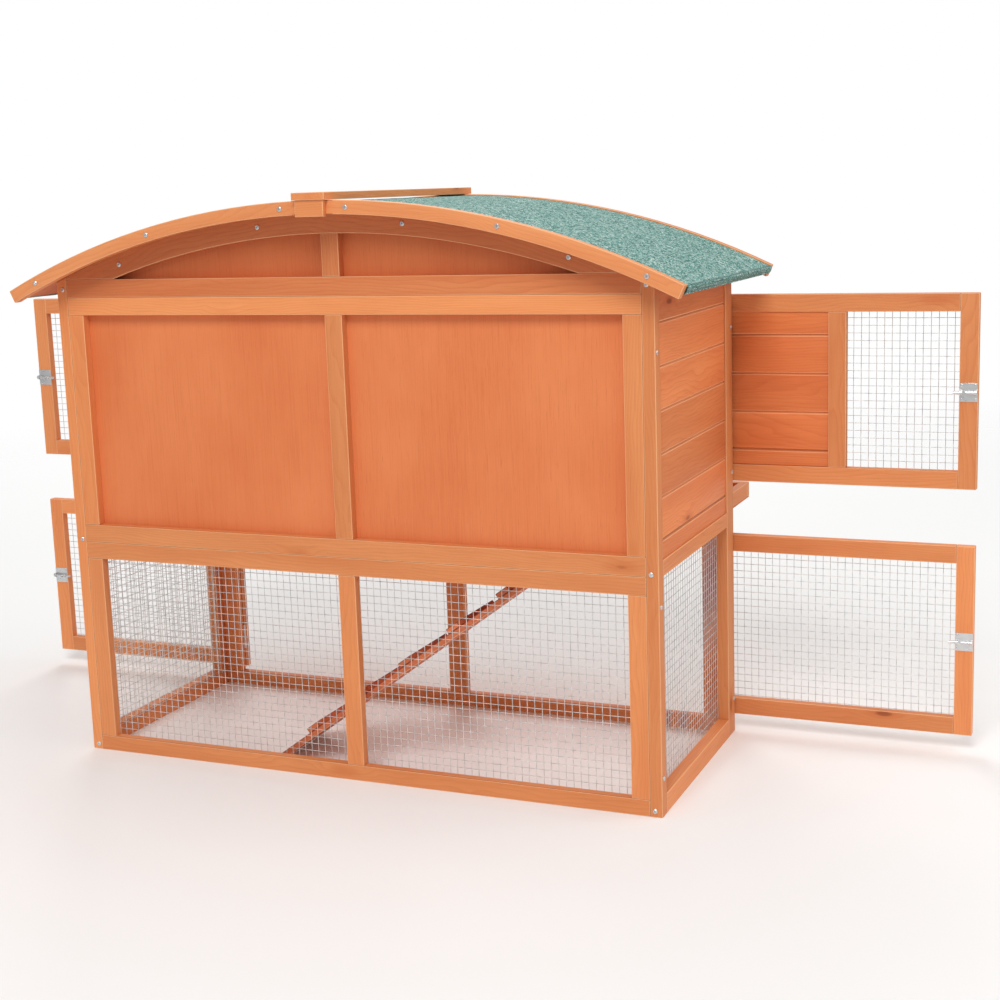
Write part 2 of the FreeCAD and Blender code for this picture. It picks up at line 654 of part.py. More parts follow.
def screws():
    rear = Vector(0, 1, 0)
    out = Vector(1, 0, 0)
    fascia_r = ROOF_RADIUS - FASCIA_W / 2
    rim_r = (RIM_R + RIM_IN_R) / 2
    arched = [screw(roof_point(fascia_r, math.asin(x / fascia_r), ROOF_Y), rear)
              for x in FASCIA_SCREW_X]
    arched += [screw(roof_point(rim_r, math.asin(x / rim_r), HALF_D), rear)
               for x in RIM_SCREW_X]
    heads = arched + flipped(arched)
    heads += [screw(Vector(INNER_X + SCREW_EDGE, HALF_D, z), rear) for z in REAR_SCREW_Z]
    heads += [screw(Vector(HALF_W, HALF_D - SCREW_EDGE, z), out) for z in SIDE_SCREW_Z]
    heads += [screw(Vector(HALF_W, SCREW_EDGE - HALF_D, z), out) for z in SIDE_FRONT_SCREW_Z]
    return heads + mirrored(heads)


def roof_nodes():
    deck, felt, fascia = roof_half()
    cap, blocks = ridge()
    rear = fascia + mirrored(fascia)
    return {
        "roof_deck_right": deck,
        "roof_deck_left": mirrored(deck),
        "roof_felt_right": felt,
        "roof_felt_left": mirrored(felt),
        "fascia_rear": rear,
        "fascia_front": flipped(rear),
        "ridge_board": cap,
        "ridge_blocks": blocks,
    }


def body_nodes():
    side_frame, side_boards, side_mesh = side_panel()
    lower_frame, rear_mesh = rear_lower()
    upper_frame, panels = rear_upper()
    gable_frame, gable_ply = gable()
    front_lower, front_upper = front_frames()
    deck, ledgers = floor()
    wall, batten = partition()
    return {
        "side_frame_right": side_frame,
        "side_frame_left": mirrored(side_frame),
        "side_boards_right": side_boards,
        "side_boards_left": mirrored(side_boards),
        "side_mesh_right": side_mesh,
        "side_mesh_left": mirrored(side_mesh),
        "rear_lower_frame": lower_frame,
        "rear_mesh": rear_mesh + mirrored(rear_mesh),
        "rear_upper_frame": upper_frame,
        "rear_panels": panels,
        "rear_gable_frame": gable_frame,
        "rear_gable_panel": gable_ply,
        "front_gable_frame": flipped(gable_frame),
        "front_gable_panel": flipped(gable_ply),
        "front_lower_frame": front_lower,
        "front_upper_frame": front_upper,
        "floor_deck": deck,
        "floor_battens": ledgers,
        "partition": wall,
        "partition_batten": batten,
        "screws": screws(),
    }


def tray_nodes():
    base, boards = tray()
    return {"tray_base": base, "tray_frame": boards}


nodes = {}
for group in (body_nodes(), roof_nodes(), doors(), tray_nodes(), ramp()):
    nodes.update(group)
os.makedirs("parts", exist_ok=True)
for name, solids in nodes.items():
    shape = solids[0] if len(solids) == 1 else Part.makeCompound(solids)
    shape.translate(Vector(0, HALF_D - FRAME_T / 2, 0))
    shape.exportStep(f"parts/{name}.step")
    print(name, len(solids), shape.isValid())
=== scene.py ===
# %% [markdown]
# Two-storey rabbit hutch with an arched felt roof.
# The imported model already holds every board, hinge, bolt and joint at its real size. This
# lesson dresses it: boards get eased edges and grain that runs their own way, the plain
# sheets become welded wire mesh, and the fixings get recesses. All sizes are in metres.

import json
import math
import random
from collections import Counter

import bmesh
import bpy
import numpy as np
from mathutils import Matrix, Vector

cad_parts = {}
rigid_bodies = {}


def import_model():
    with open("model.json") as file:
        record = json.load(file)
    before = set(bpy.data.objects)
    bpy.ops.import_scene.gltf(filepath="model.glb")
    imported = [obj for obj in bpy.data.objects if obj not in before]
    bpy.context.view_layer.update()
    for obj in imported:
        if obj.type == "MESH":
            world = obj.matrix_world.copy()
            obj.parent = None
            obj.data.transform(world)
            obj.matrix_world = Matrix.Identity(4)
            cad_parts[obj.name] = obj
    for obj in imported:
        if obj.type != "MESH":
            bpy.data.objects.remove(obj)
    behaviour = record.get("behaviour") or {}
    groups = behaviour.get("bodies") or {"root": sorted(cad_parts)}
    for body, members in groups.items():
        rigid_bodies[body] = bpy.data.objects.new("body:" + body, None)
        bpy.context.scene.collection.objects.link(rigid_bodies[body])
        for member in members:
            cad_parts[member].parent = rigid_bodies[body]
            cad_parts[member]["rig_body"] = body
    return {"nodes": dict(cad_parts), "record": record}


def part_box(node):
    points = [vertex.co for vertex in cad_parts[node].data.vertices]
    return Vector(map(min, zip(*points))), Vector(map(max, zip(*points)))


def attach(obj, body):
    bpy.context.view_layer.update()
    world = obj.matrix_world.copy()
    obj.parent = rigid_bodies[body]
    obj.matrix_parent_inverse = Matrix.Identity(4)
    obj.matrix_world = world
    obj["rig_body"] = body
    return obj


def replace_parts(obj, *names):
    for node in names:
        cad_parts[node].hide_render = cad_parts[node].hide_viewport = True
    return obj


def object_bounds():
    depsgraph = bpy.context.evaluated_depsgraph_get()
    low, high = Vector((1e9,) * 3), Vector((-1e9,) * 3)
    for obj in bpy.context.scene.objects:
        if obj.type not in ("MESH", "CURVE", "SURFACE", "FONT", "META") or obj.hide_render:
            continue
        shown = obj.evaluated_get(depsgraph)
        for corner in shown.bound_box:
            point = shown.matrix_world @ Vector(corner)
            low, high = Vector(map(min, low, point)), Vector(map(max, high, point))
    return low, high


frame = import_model()
cad_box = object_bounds()
nodes = frame["nodes"]
slot_of = {part["node"]: part["material_slot"] for part in frame["record"]["subparts"]}
print("CAD box", [[round(c, 4) for c in corner] for corner in cad_box])

# %% [markdown]
# The camera stands behind the hutch, to one side, at about the height of the ridge. A
# camera looks along its own -Z with +Y up, so its matrix is built from three directions:
# where it looks, what is right and what is up. Yaw turns it about the vertical, pitch
# tips it down and roll leans it. Writing the matrix out is exact, where a Track To
# constraint could only aim at a point and would lose the slight lean.

# %% Camera
CAMERA_AT = Vector((-1.2594, 2.7188, 0.9689))
CAMERA_YAW = 0.40867
CAMERA_PITCH = 0.17931
CAMERA_ROLL = 0.03464
CAMERA_SHIFT = (0.0073, -0.0158)
LENS = 58.607
FAR_ENOUGH = 80         # metres that the camera can see


def camera_matrix(place, yaw, pitch, roll):
    look = Vector((
        math.sin(yaw) * math.cos(pitch), -math.cos(yaw) * math.cos(pitch), -math.sin(pitch),
    ))
    right = look.cross(Vector((0, 0, 1))).normalized()
    down = look.cross(right)
    leant_right = math.cos(roll) * right + math.sin(roll) * down
    leant_down = math.cos(roll) * down - math.sin(roll) * right
    turned = Matrix((leant_right, -leant_down, -look)).transposed()
    return Matrix.Translation(place) @ turned.to_4x4()


camera = bpy.data.objects.new("camera", bpy.data.cameras.new("camera"))
camera.matrix_world = camera_matrix(CAMERA_AT, CAMERA_YAW, CAMERA_PITCH, CAMERA_ROLL)
camera.data.lens = LENS
camera.data.shift_x, camera.data.shift_y = CAMERA_SHIFT
camera.data.clip_end = FAR_ENOUGH
bpy.context.scene.collection.objects.link(camera)
bpy.context.scene.camera = camera
print("camera lens", LENS, "mm")

# %% [markdown]
# A hutch stands outdoors under a bright, even sky. A pale world does most of the work,
# because it reaches under the eaves and into the run. One large soft lamp high behind the
# camera puts the gable in the roof's shade, and two weaker ones keep the far sides readable.
# The sky is brighter to look at than it is to light with, so the backdrop stays white while
# the shade keeps its depth.
# A sun lamp would be simpler, but its edges are hard and would draw the mesh on the boards.
# The plain view transform keeps each stain at the colour that it was mixed to, where the
# default one fades bright orange towards cream.

# %% Light and floor
SKY_LIGHT = 0.50
SKY_SEEN = 1.0
WHITE = (1.0, 1.0, 1.0, 1.0)
LAMPS = (       # name, place, size in metres, watts
    ("key", (-0.9, 3.9, 4.3), 2.2, 150),
    ("side", (-4.4, -0.4, 3.2), 3.0, 60),
    ("front", (2.2, -4.2, 3.8), 2.6, 110),
)


def soft_lamp(name, place, aim, size, watts):
    lamp = bpy.data.objects.new(name, bpy.data.lights.new(name, "AREA"))
    lamp.data.size = size
    lamp.data.energy = watts
    lamp.location = place
    lamp.rotation_euler = (Vector(aim) - Vector(place)).to_track_quat("-Z", "Y").to_euler()
    bpy.context.scene.collection.objects.link(lamp)


middle = (Vector(cad_box[0]) + Vector(cad_box[1])) / 2
for name, place, size, watts in LAMPS:
    soft_lamp(name, place, middle, size, watts)

bpy.context.scene.view_settings.view_transform = "Standard"
world = bpy.data.worlds.new("sky")
world.use_nodes = True
sky = world.node_tree
path = sky.nodes.new("ShaderNodeLightPath")
strength = sky.nodes.new("ShaderNodeMapRange")
strength.inputs["To Min"].default_value = SKY_LIGHT
strength.inputs["To Max"].default_value = SKY_SEEN
sky.links.new(path.outputs["Is Camera Ray"], strength.inputs["Value"])
sky.links.new(strength.outputs[0], sky.nodes["Background"].inputs["Strength"])
sky.nodes["Background"].inputs["Color"].default_value = WHITE
bpy.context.scene.world = world

FLOOR_HALF = 30.0
floor_corners = [
    (x * FLOOR_HALF, y * FLOOR_HALF, 0) for x, y in ((-1, -1), (1, -1), (1, 1), (-1, 1))]
floor_mesh = bpy.data.meshes.new("floor")
floor_mesh.from_pydata(floor_corners, [], [(0, 1, 2, 3)])
floor = bpy.data.objects.new("floor", floor_mesh)
bpy.context.scene.collection.objects.link(floor)
print("lamps", len(LAMPS), "floor", 2 * FLOOR_HALF, "m across")

# %% [markdown]
# Every finish below is a node tree, and node trees are long when each link is spelt out.
# This small class makes a node, sets its options and feeds its sockets in one call. A
# value that is itself a socket is linked, and anything else becomes the socket's default.

# %% A short hand for node trees
MIX_INPUTS = (0, 6, 7)      # a Mix node's factor and its two colours
MIX_OUTPUT = 2              # and its mixed colour


class Finish:
    """One material while it is being mixed."""

    def __init__(self, name, roughness=0.6, metallic=0.0, specular=0.5):
        self.material = bpy.data.materials.new(name)
        self.material.use_nodes = True
        self.tree = self.material.node_tree
        self.shader = self.tree.nodes["Principled BSDF"]
        self.shader.inputs["Roughness"].default_value = roughness
        self.shader.inputs["Metallic"].default_value = metallic
        self.shader.inputs["Specular IOR Level"].default_value = specular

    def feed(self, socket, value):
        if isinstance(value, bpy.types.NodeSocket):
            self.tree.links.new(value, socket)
        elif value is not None:
            socket.default_value = value

    def node(self, kind, *values, **options):
        made = self.tree.nodes.new("ShaderNode" + kind)
        for option, setting in options.items():
            setattr(made, option, setting)
        for socket, value in zip(made.inputs, values):
            self.feed(socket, value)
        return made

    def maths(self, operation, first, second=None):
        return self.node("Math", first, second, operation=operation).outputs[0]

    def times(self, first, second):
        return self.maths("MULTIPLY", first, second)

    def scaled(self, vector, scale):
        return self.node("VectorMath", vector, scale, operation="MULTIPLY").outputs[0]

    def noise(self, vector, scale, detail=2.0, roughness=0.5):
        made = self.node("TexNoise", vector)
        made.inputs["Scale"].default_value = scale
        made.inputs["Detail"].default_value = detail
        made.inputs["Roughness"].default_value = roughness
        return made.outputs["Fac"]

    def drawn_out(self, vector, repeats, detail, roughness=0.5):
        """Noise with its own number of repeats to a metre in each direction."""
        return self.noise(self.scaled(vector, repeats), 1.0, detail, roughness)

    def span(self, value, low, high, to_low=0.0, to_high=1.0):
        """Pick out a part of a texture's range and carry it over to another range."""
        made = self.node("MapRange", value, low, high, to_low, to_high, clamp=True)
        return made.outputs[0]

    def mix(self, factor, first, second):
        made = self.node("Mix", data_type="RGBA")
        for number, value in zip(MIX_INPUTS, (factor, first, second)):
            self.feed(made.inputs[number], value)
        return made.outputs[MIX_OUTPUT]

    def attribute(self, name, output="Vector"):
        return self.node("Attribute", attribute_name=name).outputs[output]

    def bump(self, height, distance, strength):
        made = self.node("Bump")
        made.inputs["Distance"].default_value = distance
        made.inputs["Strength"].default_value = strength
        self.feed(made.inputs["Height"], height)
        return made.outputs[0]

    def done(self, colour, roughness, normal=None):
        self.feed(self.shader.inputs["Base Color"], colour)
        self.feed(self.shader.inputs["Roughness"], roughness)
        self.feed(self.shader.inputs["Normal"], normal)
        return self.material


def tone(red, green, blue):
    """A colour from 0 to 255 as a person reads it, made linear for the shader.

    The display curve has a straight foot below 11, and no tone here is as dark as that.
    """
    shares = [level / 255 for level in (red, green, blue)]
    return (*(((share + 0.055) / 1.055) ** 2.4 for share in shares), 1.0)


# %% [markdown]
# The floor is plain and pale. It has a little unevenness in its gloss, so that it reads as
# a painted studio floor and not as a hole in the picture. A real studio hides the floor's
# far edge with a curved backdrop; here the paint simply turns clear with distance, and the
# white sky shows through it.

# %% Floor finish
FLOOR_SOLID = 1.3       # the paint is whole this far from the hutch's origin
FLOOR_CLEAR = 4.6       # and quite clear from here on
FLOOR_ROUGH = (0.72, 0.88)

paint = Finish("studio_floor", roughness=0.8)
floor_place = paint.node("TexCoord").outputs["Object"]
cloudy = paint.noise(floor_place, 1.5)
floor_paint = paint.done(tone(246, 246, 245), paint.span(cloudy, 0.3, 0.7, *FLOOR_ROUGH))
away_from_hutch = paint.node("VectorMath", floor_place, operation="LENGTH").outputs["Value"]
cover = paint.span(away_from_hutch, FLOOR_SOLID, FLOOR_CLEAR, 1.0, 0.0)
paint.feed(paint.shader.inputs["Alpha"], cover)
floor.data.materials.append(floor_paint)
print("floor is solid to", FLOOR_SOLID, "m and clear from", FLOOR_CLEAR, "m")

# %% [markdown]
# Softwood is a stack of yearly rings. Each ring starts pale and soft in spring and ends in
# a thin dark line in autumn, so one rule draws all of its faces: measure how far a point is
# from the heart of the tree, divide by the ring's width and keep the fraction. The faces
# that are cut along the tree then show lines and long flames, and the sawn ends show arcs.
# A slow noise wanders the heart so that no two lines are parallel, and a cell texture
# places knots, which push the rings aside.
# The finish reads three attributes that the boards bring with them: "grain" is the point's
# place in the board's own tree, "shade" is the board's own lightness, and the third is 1 on
# its free edges and -1 in its joints: a free edge is painted paler, a painted highlight with a
# little wear in it, and a joint darker. Nothing depends on how a board is turned, so one recipe
# serves every fir piece, and only its three tones change from finish to finish.

# %% Stained fir
RING = 0.0042                       # one year's growth
HEART_WANDER = (1.0, 3.5, 3.5)      # repeats to a metre, along the board and across it
RING_WANDER = 0.05                  # how far the rings stray
LATE_POWER = 2.6                    # how suddenly autumn's dark line comes on
KNOT_CELLS = (5.0, 16.0, 16.0)
KNOT_SHARE = 0.30                   # of the cells hold a knot
KNOT_PUSH = 0.012                   # and it pushes the rings aside this far
FIBRE = (14.0, 800.0, 800.0)
PATCHES = (2.5, 22.0, 22.0)
# How far each feature turns the pale tone towards the deep one or the knot's.
STAIN = {"late": 0.3844, "patch": 0.5, "pore": 0.14, "halo": 0.6, "core": 0.62}
BOARD_SHADE = (0.84, 1.06)          # the darkest board and the lightest
PAINTED_EDGE_HIGHLIGHT = tone(250, 200, 152)     # a painted highlight on the free edges, with a little sanded wear
EDGE_HIGHLIGHT_SHARE = 0.50                   # how far a free edge turns to that tone
JOINT_SHARE = 0.70                  # and a joint to the knot's


def fir(name, *tones):
    pale, deep, knot = (tone(*levels) for levels in tones)
    wood = Finish(name, specular=0.35)
    grain = wood.attribute("grain")
    wander = wood.noise(wood.scaled(grain, HEART_WANDER), 3.0, 3.0)
    cells = wood.node("TexVoronoi", wood.scaled(grain, KNOT_CELLS))
    cells.inputs["Scale"].default_value = 1.0
    away = cells.outputs["Distance"]
    number = wood.node("SeparateColor", cells.outputs["Color"]).outputs[0]
    chosen = wood.maths("LESS_THAN", number, KNOT_SHARE)
    push = wood.times(wood.span(away, 0.02, 0.34, KNOT_PUSH, 0.0), chosen)

    parts = wood.node("SeparateXYZ", grain)
    squares = [wood.times(parts.outputs[i], parts.outputs[i]) for i in (1, 2)]
    across = wood.maths("SQRT", wood.maths("ADD", *squares))
    bent = wood.maths("ADD", across, wood.times(wander, RING_WANDER))
    ringed = wood.maths("FRACT", wood.maths("DIVIDE", wood.maths("ADD", bent, push), RING))
    late = wood.maths("POWER", ringed, LATE_POWER)
    late = wood.times(late, wood.span(ringed, 0.93, 1.0, 1.0, 0.0))

    fibre = wood.drawn_out(grain, FIBRE, 2.0, 0.6)
    pores = wood.span(fibre, 0.56, 0.72)
    patches = wood.drawn_out(grain, PATCHES, 3.0)

    colour = wood.mix(wood.times(late, STAIN["late"]), pale, deep)
    colour = wood.mix(wood.span(patches, 0.35, 0.7, 0.0, STAIN["patch"]), colour, deep)
    colour = wood.mix(wood.times(pores, STAIN["pore"]), colour, knot)
    halo = wood.times(wood.span(away, 0.07, 0.20, STAIN["halo"], 0.0), chosen)
    colour = wood.mix(halo, colour, deep)
    core = wood.times(wood.span(away, 0.045, 0.085, 1.0, 0.0), chosen)
    colour = wood.mix(wood.times(core, STAIN["core"]), colour, knot)
    shaded = wood.node("VectorMath", colour, operation="SCALE")
    shade = wood.span(wood.attribute("shade", "Fac"), 0.0, 1.0, *BOARD_SHADE)
    wood.feed(shaded.inputs["Scale"], shade)
    # A free edge is painted paler, a painted highlight with a little wear in it; a joint is
    # darkened.
    edge_highlight_and_joint = wood.attribute("edge_highlight_and_joint", "Fac")
    colour = wood.mix(wood.times(edge_highlight_and_joint, EDGE_HIGHLIGHT_SHARE), shaded.outputs[0], PAINTED_EDGE_HIGHLIGHT)
    colour = wood.mix(wood.times(edge_highlight_and_joint, -JOINT_SHARE), colour, knot)

    relief = wood.maths("SUBTRACT", wood.times(late, 0.5), wood.times(fibre, 0.6))
    gloss = wood.span(fibre, 0.3, 0.7, 0.50, 0.66)
    return wood.done(colour, gloss, wood.bump(relief, 0.00035, 0.55))


FINISHES = {
    "frame_wood": fir("stained_fir", (236, 152, 94), (212, 116, 62), (128, 54, 26)),
    "door_wood": fir("stained_fir_doors", (236, 153, 95), (211, 113, 62), (128, 54, 26)),
    "panel_wood": fir("stained_door_boards", (228, 133, 76), (200, 96, 48), (112, 43, 20)),
    # painted shade: a darker copy of the frame fir, for the gable under the roof's overhang
    "gable_painted_shade_wood": fir("gable_fir_painted_shade", (219, 132, 80), (195, 99, 52), (118, 48, 24)),
    "board_wood": fir("stained_boards", (236, 142, 86), (208, 104, 54), (116, 46, 22)),
    "fascia_wood": fir("stained_fascias", (242, 160, 102), (218, 124, 70), (130, 56, 27)),
    # painted shade: a darker, redder copy of the fir, for the inside of the hutch
    "inner_wood": fir("inner_fir_painted_shade", (228, 130, 86), (190, 92, 56), (110, 44, 24)),
}
print("fir finishes", len(FINISHES))

# %% [markdown]
# The plywood's face is peeled off the log as the log turns, so it shows broad, faint flames
# where the peel cut through the rings, and short dark flecks where it opened the pores.
# The stain sinks in unevenly and goes on redder than on the solid fir. The sheets stand
# with their grain upright, so the same "grain" attribute sets the direction.

# %% Stained plywood
FLAMES = (1.1, 9.0, 9.0)            # repeats to a metre, along the sheet's grain and across it
FLAME_LINES = 11.0
STRANDS = (3.0, 160.0, 160.0)
PLY_FIBRE = (9.0, 620.0, 620.0)
FLECKS = (38.0, 1300.0, 1300.0)
BLOTCHES = (4.0, 6.0, 6.0)
# The "edge" share paints the free edges paler: a painted highlight, with a little wear in it.
PLY_STAIN_AND_HIGHLIGHT = {
    "blotch": 0.8, "flame": 0.07, "strand": 0.16, "fibre": 0.17, "fleck": 0.28, "edge": 0.3}


def plywood(name, *tones):
    pale, deep, fleck = (tone(*levels) for levels in tones)
    ply = Finish(name, specular=0.3)
    grain = ply.attribute("grain")
    flames = ply.drawn_out(grain, FLAMES, 2.0)
    contour = ply.maths("FRACT", ply.times(flames, FLAME_LINES))
    contour = ply.maths("POWER", contour, 3.0)
    fibre = ply.drawn_out(grain, PLY_FIBRE, 3.0, 0.65)
    strand = ply.drawn_out(grain, STRANDS, 2.0, 0.6)
    flecks = ply.drawn_out(grain, FLECKS, 1.0)
    blotch = ply.drawn_out(grain, BLOTCHES, 4.0)
    colour = ply.mix(ply.span(blotch, 0.3, 0.72, 0.0, PLY_STAIN_AND_HIGHLIGHT["blotch"]), pale, deep)
    colour = ply.mix(ply.times(contour, PLY_STAIN_AND_HIGHLIGHT["flame"]), colour, deep)
    colour = ply.mix(ply.span(strand, 0.40, 0.70, 0.0, PLY_STAIN_AND_HIGHLIGHT["strand"]), colour, pale)
    colour = ply.mix(ply.span(fibre, 0.50, 0.75, 0.0, PLY_STAIN_AND_HIGHLIGHT["fibre"]), colour, fleck)
    colour = ply.mix(ply.span(flecks, 0.66, 0.76, 0.0, PLY_STAIN_AND_HIGHLIGHT["fleck"]), colour, fleck)
    # Free edges painted towards the pale tone: a painted highlight, with a little wear in it.
    edge = ply.times(ply.attribute("edge_highlight_and_joint", "Fac"), PLY_STAIN_AND_HIGHLIGHT["edge"])
    colour = ply.mix(edge, colour, pale)
    relief = ply.maths("ADD", fibre, flecks)
    return ply.done(colour, ply.span(fibre, 0.3, 0.7, 0.52, 0.68), ply.bump(relief, 0.00022, 0.5))


FINISHES.update({
    "ply": plywood("stained_plywood", (230, 136, 84), (214, 112, 62), (160, 70, 32)),
    # painted shade: a darker copy of the plywood, for the gable under the overhang
    "gable_painted_shade_ply": plywood("gable_plywood_painted_shade", (211, 118, 69), (196, 97, 51), (146, 60, 27)),
    # painted shade: a darker copy of the plywood, for the inside sheets and the roof decks
    "inner_painted_shade_ply": plywood("inner_plywood_painted_shade", (222, 132, 80), (196, 102, 56), (130, 60, 30)),
})
print("plywood finishes", [name for name in FINISHES if name.endswith("ply")])

# %% [markdown]
# Roofing felt is bitumen sheet rolled in crushed slate. Up close it is all grains of about
# a millimetre, most of them green, some nearly white and some dark where the bitumen
# shows. One cell texture at the grain's size gives each grain its own colour from a short
# ramp, and the same cells give the bump. Building the grains as geometry would take over
# half a million of them, so here the shader is the better tool.

# %% Mineral felt
GRAIN_SIZE = 0.0016
CLUMP_SIZE = GRAIN_SIZE / 0.4
GRAIN_TONES = (     # the share of the grains below each tone, and the tone
    (0.0, (28, 68, 64)), (0.16, (62, 122, 112)), (0.42, (88, 150, 140)),
    (0.68, (130, 184, 174)), (0.86, (230, 242, 236)),
)


def mineral_felt(name):
    felt = Finish(name, specular=0.25)
    place = felt.attribute("grain")
    grit, clumps = (felt.node("TexVoronoi", felt.scaled(place, (1 / size,) * 3))
                    for size in (GRAIN_SIZE, CLUMP_SIZE))
    grit.inputs["Scale"].default_value = clumps.inputs["Scale"].default_value = 1.0
    pick = felt.node("SeparateColor", grit.outputs["Color"]).outputs[0]
    ramp = felt.node("ValToRGB", pick)
    ramp.color_ramp.interpolation = "CONSTANT"
    stops = ramp.color_ramp.elements
    for stop, (share, levels) in zip(stops, GRAIN_TONES):
        stop.position, stop.color = share, tone(*levels)
    for share, levels in GRAIN_TONES[len(stops):]:
        stops.new(share).color = tone(*levels)
    lump = felt.node("SeparateColor", clumps.outputs["Color"]).outputs[1]
    cloud = felt.noise(place, 14.0, 4.0, 0.6)
    colour = felt.mix(felt.span(lump, 0.62, 1.0, 0.0, 0.75), ramp.outputs[0], tone(208, 230, 222))
    colour = felt.mix(felt.span(lump, 0.0, 0.3, 0.60, 0.0), colour, tone(40, 92, 80))
    colour = felt.mix(felt.span(cloud, 0.35, 0.65, 0.0, 0.22), colour, tone(76, 140, 128))
    height = felt.maths("SUBTRACT", 1.0, grit.outputs["Distance"])
    return felt.done(colour, felt.span(pick, 0.0, 1.0, 0.95, 0.75), felt.bump(height, 0.0012, 0.9))


FINISHES["felt"] = mineral_felt("mineral_felt")

# %% [markdown]
# The mesh is galvanised after welding, so its zinc is matt and slightly mottled. The bolts
# and hinges are bright-plated: the same metal, smoother, with fine handling scratches.
# Weathered zinc wears a thin white oxide, so neither is wholly metallic, and the wire is
# the duller of the two.

# %% Zinc
SCRATCHES = (240.0, 900.0, 1700.0)


def zinc(name, dull, bright, mottle, metallic, roughness, rise, scratch):
    """Mottle is in spots to a metre. Rise and scratch are what each adds to the roughness."""
    metal = Finish(name, roughness=roughness, metallic=metallic)
    place = metal.node("TexCoord").outputs["Object"]
    spangle = metal.noise(place, mottle, 3.0)
    scratches = metal.drawn_out(place, SCRATCHES, 2.0)
    colour = metal.mix(metal.span(spangle, 0.35, 0.65), dull, bright)
    rough = metal.maths("ADD", metal.span(spangle, 0.3, 0.7, roughness, roughness + rise),
                        metal.span(scratches, 0.6, 0.8, 0.0, scratch))
    return metal.done(colour, rough, metal.bump(scratches, 0.00005, 0.4))


FINISHES["mesh"] = zinc("galvanised_wire", tone(192, 194, 193), tone(234, 235, 232),
                        mottle=90.0, metallic=0.60, roughness=0.34, rise=0.15, scratch=0.05)
FINISHES["zinc"] = zinc("bright_zinc", tone(210, 212, 214), tone(222, 223, 222),
                        mottle=60.0, metallic=0.88, roughness=0.26, rise=0.05, scratch=0.06)
print("finishes", sorted(FINISHES))

# %% [markdown]
# A CAD node can hold several boards in one mesh, and boards that touch share corner points,
# so splitting by connected points would glue a rail to its stile. A closed solid gives a
# better test: walk its faces in order and, once every edge has been walked both ways, the
# skin is closed and the next face starts the next board.

# %% Take a node apart into its solids
WELD = 1e5      # points nearer than 1/WELD metres are one point


def solids(node):
    """Each closed solid of a CAD node as (corner points, faces)."""
    mesh = nodes[node].data
    open_edges = Counter()
    points, faces, found = {}, [], []
    for polygon in mesh.polygons:
        corners = []
        for index in polygon.vertices:
            place = mesh.vertices[index].co
            key = tuple(round(c * WELD) for c in place)
            points.setdefault(key, (len(points), tuple(place)))
            corners.append(points[key][0])
        faces.append(corners)
        for start, end in zip(corners, corners[1:] + corners[:1]):
            if open_edges[(end, start)]:
                open_edges[(end, start)] -= 1
            else:
                open_edges[(start, end)] += 1
        if not sum(open_edges.values()):
            found.append(([place for _, place in points.values()], faces))
            open_edges.clear()
            points, faces = {}, []
    return found


print("front_lower_frame holds", len(solids("front_lower_frame")), "boards")

# %% [markdown]
# Grain needs to know which way each board runs. A straight board runs along its longest
# side, and a sloping one, such as the ramp, along the direction in which its points spread
# most. The fascia and the gable's rim follow the arch, so their grain is unrolled about
# the arch's centre, which comes from the fascia's own height and half width.
# Each board also starts at its own random place in the tree, so no two are alike.

# %% Which way the grain runs
fascia_low, fascia_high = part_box("fascia_rear")
fascia_points = [v.co for v in nodes["fascia_rear"].data.vertices]
widest = max(fascia_points, key=lambda p: p.x)
rise = fascia_high.z - widest.z
ARCH_RADIUS = (widest.x ** 2 + rise ** 2) / (2 * rise)
ARCH_Z = fascia_high.z - ARCH_RADIUS
AXES = {"x": (0, 1, 2), "z": (2, 0, 1)}
SQUARE_ON = 0.985       # a board whose spread lies this near an axis runs along it
CURVED = 40             # and so does one with more points than this, which is not a plain board


def straight_grain(points, along):
    """Coordinates with the first running along the fibre."""
    if along in AXES:
        return points[:, AXES[along]]
    spread = np.ptp(points, axis=0)
    directions = np.linalg.svd(points - points.mean(axis=0))[2]
    if np.abs(directions[0]).max() > SQUARE_ON or len(points) > CURVED:
        longest = int(np.argmax(spread))
        return points[:, [longest] + [i for i in range(3) if i != longest]]
    return (points - points.mean(axis=0)) @ directions.T


def arched_grain(points):
    """Coordinates unrolled round the roof's arch: along it, out from its centre, across."""
    rise_here = points[:, 2] - ARCH_Z
    radius = np.hypot(points[:, 0], rise_here)
    angle = np.arctan2(points[:, 0], rise_here)
    return np.stack([angle * ARCH_RADIUS, radius, points[:, 1]], axis=1)


print("arch radius", round(ARCH_RADIUS, 4), "centre height", round(ARCH_Z, 4))

# %% [markdown]
# No sawn board has a knife edge: planing and sanding leave a round of about a millimetre,
# and that round is what catches the light. Each solid is cleaned of its triangles and its
# sharp edges are bevelled. Working solid by solid keeps the joints between boards visible,
# which a bevel on the whole frame would have closed. Each round is marked as free or as lying
# in a joint: a free round is painted paler, a painted highlight where it catches the light with
# a little sanded wear, and a joint is painted dark, where the stain gathers.

# %% Cut one board
EASE = 0.0011
FLAT = math.radians(2)          # triangles this nearly level with each other are one face
SHARP = math.radians(32)        # edges sharper than this are eased
SMOOTH = math.radians(20)       # and those blunter than this are shaded as one curve
SEAM = 0.0004                   # boards nearer than this lie against each other
SQUARE_POINTS = 24              # a solid with more points is curved, and its box says little
RIM_POINTS = 60                 # one with more than this is part of the gable's arched rim
TREE_LENGTH = 20                # a board starts this far along its tree at most
HEART_AWAY = (0.03, 0.13)       # how far the board was sawn from the heart


def box_corners(points):
    place = np.array(points)
    return place.min(axis=0), place.max(axis=0)


